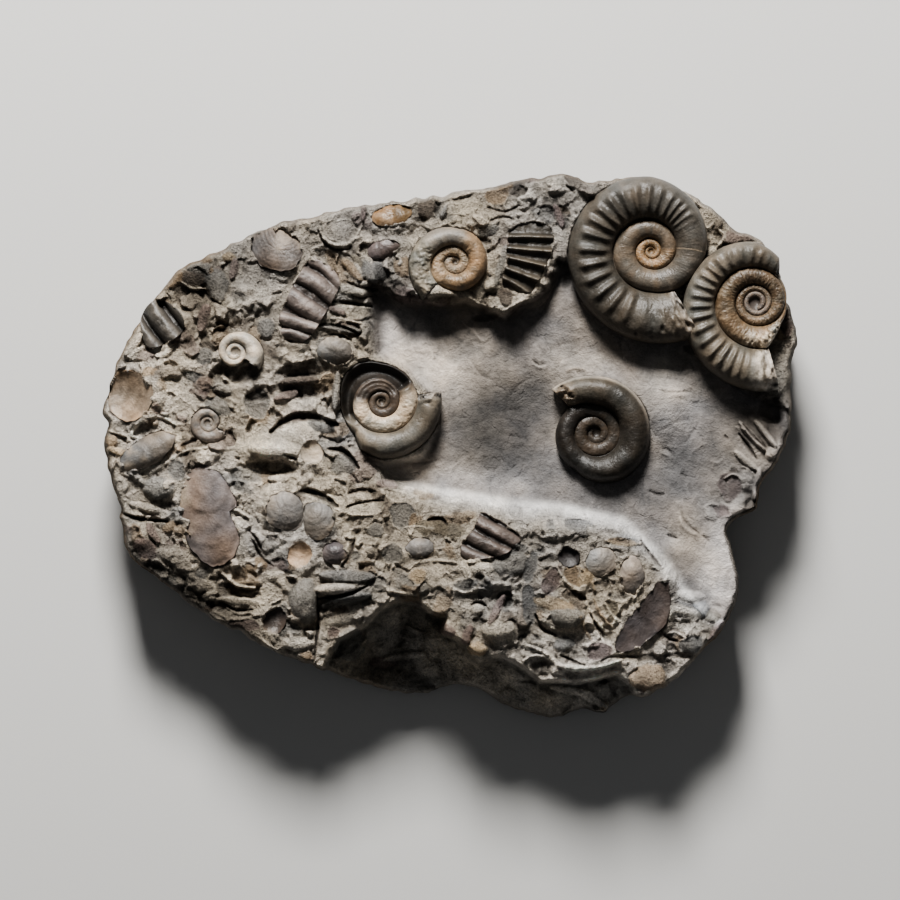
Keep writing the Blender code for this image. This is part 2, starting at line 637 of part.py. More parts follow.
def rib_points(fragment):
    """Points along the crest and the trough of every rib, inside the fragment's outline."""
    outline = np.array(fragment.outline, dtype=float)
    middle = outline.mean(axis=0)
    angle = math.radians(fragment.rib_turn)
    rows = []
    for crest in range(-RIB_ROWS, RIB_ROWS + 1):
        aside = crest * fragment.rib_pitch / 2.0
        for along in np.arange(-RIB_REACH, RIB_REACH, fragment.rib_pitch * RIB_POINT_PITCH):
            rows.append((middle[0] + along * math.cos(angle) - aside * math.sin(angle),
                         middle[1] - along * math.sin(angle) - aside * math.cos(angle)))
    points = np.array(rows)
    return points[signed_distance(points[:, 0], points[:, 1], outline) > RIB_CLEARANCE]


def make_fragment(fragment, plate):
    """One ribbed piece of a whorl, with a plain foot in the rock."""
    outline = smooth_loop(fragment.outline, FRAGMENT_SPACING)
    plane = rock_plane(outline, fragment.stand, plate)
    return relief_solid(fragment.name, outline, rib_points(fragment),
                        fragment_height(fragment, plane), plinth_rings(plane), plate,
                        fragment.slot)


def make_fragment_cutter(fragment, plate):
    """The socket of a ribbed piece."""
    gap = SOCKET_GAP / pixel_size(plate)
    outline = counter_clockwise(smooth_loop(fragment.outline, FRAGMENT_SPACING))
    plane = rock_plane(outline, fragment.stand, plate)
    wide = inset_loop(outline, -gap, 0)
    return make_cutter(fragment.name, [(wide, socket_floor(wide, plane))], plate)


def spiral_radius(fossil, degrees):
    """Radius of the coil's outer edge, in pixels, at an angle along its growth."""
    angles = [point[0] for point in fossil.spiral]
    radii = [math.log(point[1]) for point in fossil.spiral]
    return np.exp(np.interp(degrees, angles, radii))


def rib_rise(fossil, degrees, share):
    """How far a rib lifts the shell at an angle along the growth and a share across."""
    if fossil.rib_span is None:
        return 0.0
    start, stop = fossil.rib_span
    if degrees < start or degrees > stop:
        return 0.0
    fade = min(1.0, (degrees - start) / RIB_FADE_IN, (stop - degrees) / RIB_FADE_OUT)
    wave = math.cos(math.radians(degrees * fossil.ribs))
    return RIB_RISE * wave * fade * math.sin(math.pi * share)


def coil_point(fossil, degrees, radius, height):
    """A point of the photograph on a ray of the coil, with its height in millimetres."""
    angle = math.radians(degrees) * fossil.hand
    return (fossil.place[0] + radius * math.cos(angle),
            fossil.place[1] - radius * math.sin(angle), height)


def seam_height(fossil, degrees):
    """Height of the groove between two whorls, and of the outer edge on the last one."""
    end = fossil.spiral[-1][0]
    size = spiral_radius(fossil, degrees) / spiral_radius(fossil, end)
    past = smooth_step((degrees - (end - 360.0)) / SEAM_FADE)
    return fossil.level + SEAM_SHARE * fossil.thick * size * (1.0 - float(past))


def coil_row(fossil, degrees):
    """Points across a whorl between its two seams."""
    end = fossil.spiral[-1][0]
    inner = spiral_radius(fossil, degrees - 360.0)
    outer = spiral_radius(fossil, degrees)
    low = seam_height(fossil, degrees - 360.0)
    high = seam_height(fossil, degrees)
    width = (outer - inner) / (spiral_radius(fossil, end) - spiral_radius(fossil, end - 360.0))
    crown = fossil.level + fossil.thick * min(1.0, width) ** CROWN_POWER
    rows = []
    for share in WHORL_SHARES:
        base = low + (high - low) * share
        arch = max(crown - base, LEAST_ARCH) * (4.0 * share * (1.0 - share)) ** ARCH_POWER
        height = base + arch + rib_rise(fossil, degrees, share)
        rows.append(coil_point(fossil, degrees, inner + (outer - inner) * share, height))
    return rows


def make_ammonite(fossil, plate):
    """A coiled shell: a spiral strip of whorls around a cap, on a plain foot in the rock."""
    steps = fossil.steps
    last = steps * (fossil.turns + 1)
    end = fossil.spiral[-1][0]
    angles = [end - 360.0 * (last - index) / steps for index in range(last + 1)]
    points = [coil_point(fossil, angle, float(spiral_radius(fossil, angle)),
                         seam_height(fossil, angle)) for angle in angles]
    rows = {}
    for index in range(steps, last + 1):
        middle = coil_row(fossil, angles[index])
        first = len(points)
        points += middle
        rows[index] = [index - steps] + list(range(first, first + len(middle))) + [index]
    centre = len(points)
    nucleus = points[0][2] + NUCLEUS_RISE * fossil.thick
    points.append((fossil.place[0], fossil.place[1], nucleus))
    faces = [(centre, index, index + 1) for index in range(steps - 1)]
    inner_row = rows[steps]
    faces.append((centre, steps - 1, inner_row[0]))
    faces += [(inner_row[k], steps - 1, inner_row[k + 1]) for k in range(len(inner_row) - 1)]
    for index in range(steps, last):
        here = rows[index]
        there = rows[index + 1]
        faces += [(here[k], here[k + 1], there[k + 1], there[k]) for k in range(len(here) - 1)]
    edge = list(range(last - steps, last)) + rows[last][::-1][:-1]
    foot = [coil_foot(fossil, points[index]) for index in edge]
    first = len(points)
    points += foot
    for index in range(len(edge)):
        following = (index + 1) % len(edge)
        faces.append((edge[index], edge[following], first + following, first + index))
    faces.append(tuple(range(first, first + len(edge))))
    return make_object(fossil.name, to_metres(points, plate), faces,
                       AMMONITE_SLOTS[fossil.name])


def coil_foot(fossil, point):
    """The place in the rock below a point of the coil's edge, drawn in towards its middle."""
    across = point[0] - fossil.place[0]
    down = point[1] - fossil.place[1]
    share = 1.0 - COIL_FOOT_INSET / max(math.hypot(across, down), LEAST_RADIUS)
    return (fossil.place[0] + across * share, fossil.place[1] + down * share,
            fossil.level - fossil.sunk)


def coil_reach(fossil, degrees, window):
    """Largest radius of the coil's visible edge within a few degrees of a direction."""
    end = fossil.spiral[-1][0]
    around = degrees + np.linspace(-window, window, REACH_SAMPLES)
    turned = end - (end - around) % 360.0
    return float(np.max(spiral_radius(fossil, turned)))


def make_ammonite_cutter(fossil, plate):
    """The socket of a coiled shell: a loop just outside its edge, narrower at the foot."""
    sides = AMMONITE_SOCKET_SIDES
    step = 360.0 / sides
    gap = SOCKET_GAP / pixel_size(plate)
    wide = []
    narrow = []
    for index in range(sides):
        degrees = fossil.spiral[-1][0] + step * index
        reach = coil_reach(fossil, degrees, step * SOCKET_WINDOW)
        radius = reach / math.cos(math.radians(step / 2.0)) + gap
        foot = radius - COIL_FOOT_INSET * radius / max(radius, LEAST_RADIUS) + gap
        wide.append(coil_point(fossil, degrees, radius, 0.0)[:2])
        narrow.append(coil_point(fossil, degrees, foot, 0.0)[:2])
    floor = fossil.level - fossil.sunk - SOCKET_GAP / MM
    return make_cutter(fossil.name, [(narrow, [floor] * sides), (wide, [fossil.level] * sides)],
                       plate)


def make_cutter(name, loops, plate):
    """A closed cutter through the given loops, then straight up to above the slab."""
    wide = loops[-1][0]
    count = len(wide)
    loops = loops + [(wide, [CUTTER_TOP] * count)]
    points = []
    faces = []
    for loop, levels in loops:
        points += [(x, y, z) for (x, y), z in zip(loop, levels)]
    for ring in range(len(loops) - 1):
        for index in range(count):
            following = (index + 1) % count
            low = ring * count
            faces.append((low + index, low + following, low + count + following,
                          low + count + index))
    faces.append(tuple(range(count)))
    faces.append(tuple(range(len(points) - count, len(points))))
    cutter = make_object(name + "_socket", to_metres(points, plate), faces, None)
    cutter.hide_render = True
    cutter.display_type = "WIRE"
    return cutter


def cut(item, cutter):
    """Takes a cutter's volume out of an object."""
    change = item.modifiers.new("cut_" + cutter.name, "BOOLEAN")
    change.operation = "DIFFERENCE"
    change.solver = "EXACT"
    change.object = cutter


def main():
    """Builds the slab, then each fossil in its own socket."""
    clear_scene()
    plate = counter_clockwise(smooth_loop(OUTLINE, OUTLINE_SPACING))
    matrix = make_matrix(plate)
    fossils = {}
    cutters = {}
    for fossil in AMMONITES:
        fossils[fossil.name] = make_ammonite(fossil, plate)
        cutters[fossil.name] = make_ammonite_cutter(fossil, plate)
    for shell in SHELLS:
        fossils[shell.name] = make_shell(shell, plate)
        cutters[shell.name] = make_shell_cutter(shell, plate)
    for fragment in FRAGMENTS:
        fossils[fragment.name] = make_fragment(fragment, plate)
        cutters[fragment.name] = make_fragment_cutter(fragment, plate)
    for cutter in cutters.values():
        cut(matrix, cutter)
    cut(fossils["ammonite_large"], cutters["ammonite_right"])


main()
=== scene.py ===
"""Looks of the ammonite cluster plate: rock, ammonites and shells at full detail.

Places across the face are pixels of the 900 x 900 photograph, from its top left corner, as in
the construction; heights are millimetres above the slab's underside, turns are degrees
anticlockwise.
"""
import math
from collections import namedtuple

import bmesh
import bpy
import numpy as np
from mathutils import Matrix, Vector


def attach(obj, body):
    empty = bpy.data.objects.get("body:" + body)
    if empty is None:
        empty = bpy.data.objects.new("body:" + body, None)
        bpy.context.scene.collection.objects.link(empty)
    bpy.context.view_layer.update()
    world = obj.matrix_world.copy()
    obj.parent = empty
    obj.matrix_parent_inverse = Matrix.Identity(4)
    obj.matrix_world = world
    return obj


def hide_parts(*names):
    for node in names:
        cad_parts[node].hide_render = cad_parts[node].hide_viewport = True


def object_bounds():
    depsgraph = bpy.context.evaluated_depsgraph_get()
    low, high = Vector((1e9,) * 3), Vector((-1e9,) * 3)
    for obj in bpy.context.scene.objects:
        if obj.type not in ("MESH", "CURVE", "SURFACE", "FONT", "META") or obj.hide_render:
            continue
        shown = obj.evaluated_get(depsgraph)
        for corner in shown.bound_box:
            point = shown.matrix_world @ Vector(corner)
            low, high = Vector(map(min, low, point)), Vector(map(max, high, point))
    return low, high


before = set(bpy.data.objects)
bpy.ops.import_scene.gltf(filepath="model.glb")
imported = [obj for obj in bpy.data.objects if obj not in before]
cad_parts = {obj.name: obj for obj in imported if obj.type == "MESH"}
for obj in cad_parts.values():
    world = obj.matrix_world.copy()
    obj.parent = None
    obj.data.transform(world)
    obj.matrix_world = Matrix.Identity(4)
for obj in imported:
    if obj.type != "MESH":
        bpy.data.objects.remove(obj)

CAD_LOW, CAD_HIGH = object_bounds()
MM = 0.001
PLATE_WIDTH = CAD_HIGH.x - CAD_LOW.x
PHOTO_SIZE = 900.0

# How far every vertex stays inside the solids' box, in metres
BOX_MARGIN = 2e-5

# Starting numbers of the random draws
OUTLINE_SEED = 10
FLAKE_SEED = 11
DETAIL_SEED = 12
SCRATCH_SEED = 13
FINISH_SEED = 14
FOSSIL_SEED = 15
SIDE_SEED = 16
WEAR_SEED = 17

# The slab's side and its highest point, in millimetres
BELT_HEIGHT = 24.0
APRON_BELT_HEIGHT = 8.0
UNDERCUT_INSET = 1.6
BASE_INSET = 4.5
RIM_WIDTH = 1.5
TOP_LIMIT = 40.6

# Fineness, in pixels of the photograph
OUTLINE_SPACING = 20.0
FINE_OUTLINE_SPACING = 3.0
SIDE_OUTLINE_SPACING = 12.0
PIECE_OUTLINE_SPACING = 1.6
PATH_SPACING = 2.5
RIB_SPACING = 3.0
RELIEF_STEP = 0.9
MESH_STEP = 1.15
RELIEF_MARGIN = 12

# Fineness, in numbers of triangles, rings, points and rows
ROCK_TRIANGLES = 196000
CURVE_STEPS = 16
COIL_ACROSS = 26
FOOT_RINGS = 5
SHELL_SIDES = 80
SHELL_RINGS = 14
PIECE_RINGS = 26
SIDE_RINGS = 18
SIDE_STATIONS = 1200
ROWS_A_RING = 3
STAIN_ROWS = 80

# The rock's broken surface: chips along the outline in pixels, the rest in millimetres
OUTLINE_CHIPS = 3.2
SIDE_ROUGHNESS = 4.2
LEDGE_STEP = 1.1
BIG_FACETS = 0.34
SMALL_FACETS = 0.24
ROCK_CHIPS = 0.21
ROCK_GRAIN = 0.08
ROCK_LUMPS = 0.30
FLOOR_LUMPS = 0.28
FLOOR_GRAIN = 0.04
APRON_BLOCKS = 1.9
APRON_FACETS = 0.9
APRON_CHIPS = 0.25
RIM_WANDER = 1.5

# Scattered flakes, the first ones largest, in pixels, and the number of scratches
FLAKES = 1500
FIRST_FLAKE = 26.0
LAST_FLAKE = 7.0
FLAKE_SOFTNESS = 0.40
SCRATCHES = 700

# Where in the hollow the scratches lie, in pixels across and down, and the row from which
# its lower slopes turn pale with chalk and painted light, over a belt of rows
FLOOR_ACROSS = (380, 780)
FLOOR_DOWN = (270, 620)
SLOPE_LIGHT_FROM = 420.0
SLOPE_LIGHT_BELT = 40.0

# Shares taken of the heights of ledges, lumps, pits and shells
LEDGE_SHARE = 0.50
LUMP_SHARE = 0.7
PIT_SHARE = 0.24
PIT_DEPTH = 0.26
SHELL_FLATNESS = 0.85

# How unevenly flakes and bits are edged, and how strongly each sort colours the rock; a pit's
# colour is painted shade
FLAKE_RAGGED = 0.10
BIT_RAGGED = 0.06
FLAKE_TONE = 0.6
PIT_SHADE_TONE = 0.42
BIT_TONE = 0.8
LINE_TONE = 0.7
MARK_SHARE = 0.5
SCRATCH_SHARE = 0.4

# Painted shade in hollows and painted highlight on what stands out: reach in cells, height in
# millimetres that shades fully, and strength
PAINTED_RELIEF_SHADING = ((4, 0.6, 0.24), (14, 1.5, 0.20))

# Share of a soft patch's radius from which it starts to fade
PATCH_CORE = 0.35

# Rock banked round a fossil: pixels outwards, fall in millimetres a square pixel, and share
BANK_REACH = 16.0
BANK_FALL = 0.02
BANK_SHARE = 0.8

# Width of the border that has the side's colour, in pixels, and how bright that colour is
WALL_WIDTH = 4.0
SIDE_TONE = 0.75

# How the rock laps over a shell's edge, in millimetres: its unevenness, more of it on the
# buried side, the fall towards the middle, and the height at which the edge comes free
LAP_UNEVEN = 1.4
LAP_SIDE = 1.2
LAP_FALL = 7.0
LAP_FREE = 0.35

# The same for a ribbed piece, with the fall in millimetres a pixel
PIECE_LAP_UNEVEN = 0.9
PIECE_LAP_FALL = 0.38
PIECE_LAP_RISE = 0.25

# The rock's unevenness below a coil, how far it lies lower, and its fall inwards
SOCKET_UNEVEN = 0.5
SOCKET_DROP = 0.3
SOCKET_FALL = 10.0

# Growth lines and wear on the fossils, in millimetres, and how far wear changes the colour
SHELL_LINES = 0.11
SHELL_WEAR = 0.16
PIECE_WEAR = 0.45
WHORL_WEAR = 0.13
WHORL_LINES = 0.025
PIECE_MOTTLE = 0.42
WHORL_MOTTLE = 0.10
SEAM_TONE = 0.55

# The fossils' feet in the rock: depths in millimetres, shares of the width and brightness
# above, and how far a coil's foot draws in, in pixels
FOSSIL_SUNK = 4.0
FOSSIL_WALL = 0.5
FOOT_SHARE = 0.94
FOOT_TONE = 0.8
COIL_FOOT_INSET = 6.0

# How far below the middle height of its surroundings a fossil's edge may count as lying
STEEPEST_DROP = 7.0

# Lights: name, place and width in metres, power in watts, and colour
LAMPS = (
    ("key", (-0.12, 1.05, 0.76), 0.34, 40.0, (1.0, 0.985, 0.96)),
    ("fill", (0.1, -0.3, 1.6), 1.4, 1.0, (0.95, 0.97, 1.0)),
)
SKY_COLOUR = (0.9, 0.92, 0.95, 1.0)
SKY = 0.060
FLOOR_COLOUR = (0.62, 0.615, 0.60, 1.0)
FLOOR_SIZE = 4.0
FLOOR_DROP = 0.0004

# The camera, and the height at which a photograph pixel has the slab's scale, in metres
CAMERA_HEIGHT = 2.5
SCALE_HEIGHT = 0.020
CLIP_END = 20.0

# The slab's outline
OUTLINE = [
    (103, 412), (108, 393), (117, 362), (137, 325), (155, 299), (171, 276), (206, 255),
    (255, 233), (280, 222), (340, 209), (390, 201), (455, 192), (510, 182), (562, 174),
    (590, 181), (626, 177), (655, 178), (680, 189), (712, 207), (735, 227), (760, 239),
    (776, 266), (788, 300), (797, 336), (797, 352), (792, 368), (791, 413), (789, 435),
    (776, 465), (760, 488), (757, 508), (745, 518), (729, 528), (732, 545), (740, 575),
    (736, 600), (727, 620), (716, 638), (699, 654), (685, 671), (662, 690), (645, 697),
    (626, 699), (607, 714), (585, 712), (555, 719), (525, 713), (500, 704), (476, 690),
    (449, 687), (425, 695), (403, 695), (370, 687), (340, 677), (313, 667), (283, 655),
    (245, 637), (200, 612), (168, 586), (145, 571), (129, 554), (121, 529), (119, 511),
    (112, 482), (105, 454), (105, 440), (108, 424),
]

# The hollow that was cleaned smooth: its edge, and how wide the slope into it is there
BASIN_EDGE = [
    (372, 289, 9), (373, 330, 11), (376, 354, 8), (400, 366, 8), (432, 398, 8),
    (436, 425, 8), (420, 452, 10), (372, 462, 12), (385, 482, 12), (430, 496, 15),
    (500, 508, 16), (560, 514, 16),
    (618, 527, 16), (655, 560, 15), (684, 600, 14), (712, 622, 10), (760, 640, 10),
    (800, 560, 10), (800, 452, 10), (788, 408, 8), (755, 398, 8), (715, 372, 8),
    (690, 335, 7), (628, 336, 6), (585, 305, 6), (570, 268, 5), (558, 262, 5),
    (548, 288, 5), (505, 318, 5), (467, 303, 5), (440, 306, 5),
    (401, 303, 6), (386, 293, 7),
]

# Heights of the rough rock and of the hollow's floor at scattered places, and how far each
# reaches in pixels
ROUGH_HEIGHTS = [
    (120, 400, 29), (150, 300, 29), (150, 520, 29), (200, 280, 33), (200, 400, 33),
    (200, 500, 34), (190, 580, 29), (260, 250, 32), (260, 340, 34), (260, 430, 34),
    (260, 520, 35), (260, 600, 33), (330, 230, 34), (330, 320, 35), (330, 400, 33),
    (330, 480, 35), (330, 560, 36), (320, 640, 32), (400, 220, 35), (400, 270, 36),
    (460, 220, 35), (520, 200, 34), (520, 260, 35), (570, 210, 33), (620, 260, 31),
    (690, 220, 29), (740, 260, 29), (775, 320, 29), (780, 380, 28), (380, 420, 32),
    (400, 490, 34), (450, 510, 35), (510, 520, 36), (570, 530, 36), (620, 540, 35),
    (660, 580, 34), (690, 630, 30), (400, 560, 36), (400, 600, 35), (460, 570, 37),
    (460, 630, 35), (520, 580, 37), (520, 650, 34.5), (580, 590, 37), (580, 660, 34),
    (640, 610, 35), (640, 670, 31.5), (690, 650, 28.5),
]
FLOOR_HEIGHTS = [
    (400, 330, 27), (450, 330, 26), (500, 340, 27), (560, 300, 28), (560, 345, 28),
    (620, 355, 27), (660, 370, 28), (420, 410, 28), (450, 380, 27), (450, 450, 27),
    (500, 400, 26), (500, 460, 27), (540, 420, 25), (545, 480, 28), (590, 380, 28),
    (600, 490, 30), (650, 400, 30), (670, 460, 28), (660, 510, 29), (720, 420, 28),
    (745, 450, 29), (720, 480, 28), (700, 540, 29), (725, 590, 27), (690, 590, 31),
]
HEIGHT_REACH = 26.0

# The dark slope at the front, below the broken lower edge of the fossil face: its edge, the
# height there and the fall in millimetres a pixel
APRON_EDGE = [
    (322, 690), (326, 664), (340, 640), (366, 626), (380, 610), (398, 601), (416, 601),
    (431, 613), (443, 618), (443, 632), (462, 642), (480, 660), (500, 656), (520, 666),
    (540, 681), (580, 682), (600, 678), (616, 674), (628, 684), (640, 710), (560, 760),
    (400, 740),
]
APRON_TOP = 25.0
APRON_FALL = 0.30

# Broad rises and hollows of the ground: place, length, width, turn and rise
Lump = namedtuple("Lump", "place size turn rise")
LUMPS = [Lump((x, y), (long, wide), *rest) for x, y, long, wide, *rest in (
    (307, 384, 54, 30, -8, -8.0), (257, 402, 34, 26, 20, -6.0), (232, 376, 50, 22, 8, -6.0),
    (197, 290, 40, 34, 60, -6.0), (238, 606, 58, 24, -6, -7.0), (145, 428, 26, 22, 0, -5.0),
    (425, 212, 30, 26, 40, -6.0), (272, 468, 52, 20, -4, -5.0), (525, 408, 56, 46, 0, -2.0),
    (773, 412, 20, 22, 0, -5.0), (503, 598, 28, 24, 0, -6.0), (541, 668, 28, 22, 0, -5.0),
    (312, 496, 52, 16, -12, -4.0), (725, 234, 46, 22, -20, -5.0), (275, 452, 62, 20, -4, 3.0),
    (205, 458, 44, 18, 25, 3.0), (430, 290, 52, 20, -14, 3.0), (520, 303, 50, 18, 20, 3.0),
    (330, 235, 40, 38, 0, 3.0), (160, 490, 34, 28, 0, 2.5), (345, 590, 60, 22, 6, 3.0),
    (305, 605, 32, 42, 0, 3.0), (350, 645, 34, 28, 0, 3.0), (420, 580, 50, 30, 10, 3.0),
    (480, 575, 44, 34, -10, 3.0), (525, 590, 26, 60, 0, -3.0), (500, 625, 46, 30, 20, 3.0),
    (567, 617, 42, 28, 0, 3.5), (598, 649, 36, 24, 0, 3.0), (580, 665, 90, 14, 6, 3.0),
    (555, 530, 60, 20, -6, 3.0), (690, 640, 30, 30, 40, 3.0), (745, 500, 40, 26, 50, -3.0),
    (655, 400, 60, 70, 20, 2.0), (180, 560, 50, 26, -30, 3.0), (140, 535, 30, 24, -40, 3.0),
    (365, 510, 40, 34, 0, 2.5), (220, 310, 40, 30, 0, 3.0), (255, 300, 40, 26, -40, 3.0),
    (365, 290, 26, 50, 20, 3.0), (475, 222, 50, 22, 6, 3.0), (400, 660, 60, 16, 6, 4.0),
    (590, 702, 40, 14, 0, 4.0),
)]

# Colours, linear red, green and blue
ROCK = (0.450, 0.408, 0.360)
PALE_ROCK = (0.520, 0.475, 0.415)
BASIN = (0.212, 0.196, 0.186)
# Pale colour of the hollow's lower slopes, which face the lamp: chalk, with painted light
CHALK_AND_SLOPE_LIGHT = (0.800, 0.770, 0.740)
# The front slope's stone, paler than the rock, paints light onto a slope that lies in shade
PAINTED_LIGHT_APRON = (0.620, 0.575, 0.520)
SHELL_DUST = (0.300, 0.245, 0.185)
MAUVE = (0.160, 0.122, 0.116)
GREY = (0.185, 0.183, 0.180)
TAN = (0.250, 0.185, 0.125)
CREAM = (0.360, 0.285, 0.200)
# Dark brown of shell bits, and painted shade where a pit or crack takes it
BROWN = (0.060, 0.045, 0.036)
OLIVE = (0.118, 0.104, 0.080)
# Painted shade for pits, slits and cracks
RECESS_SHADE = (0.040, 0.035, 0.032)
CALCITE = (0.42, 0.34, 0.26)
BARE_STONE = (0.125, 0.104, 0.080)
CHALKY = (0.50, 0.43, 0.34)
RUST = (0.18, 0.145, 0.110)
TINTS = {"rock": ROCK, "pale": PALE_ROCK, "mauve": MAUVE, "grey": GREY, "tan": TAN,
         "cream": CREAM, "brown": BROWN, "olive": OLIVE, "dark": RECESS_SHADE}

# Stains: shares of red, green and blue, and how far blotches shift them
WARM_STAIN = (1.05, 1.0, 0.90)
COOL_STAIN = (0.93, 0.95, 0.97)
FLOOR_SHIFT = (0.030, 0.0, -0.035)
WHORL_SHIFT = (0.20, 0.13, 0.06)
SHELL_SHIFT = (0.16, 0.05, -0.08)

# Colours of the scattered flakes, most of which have the rock's own
FLAKE_TINTS = [None] * 12 + [PALE_ROCK] * 3 + [GREY] * 2 + [MAUVE, TAN, BROWN]
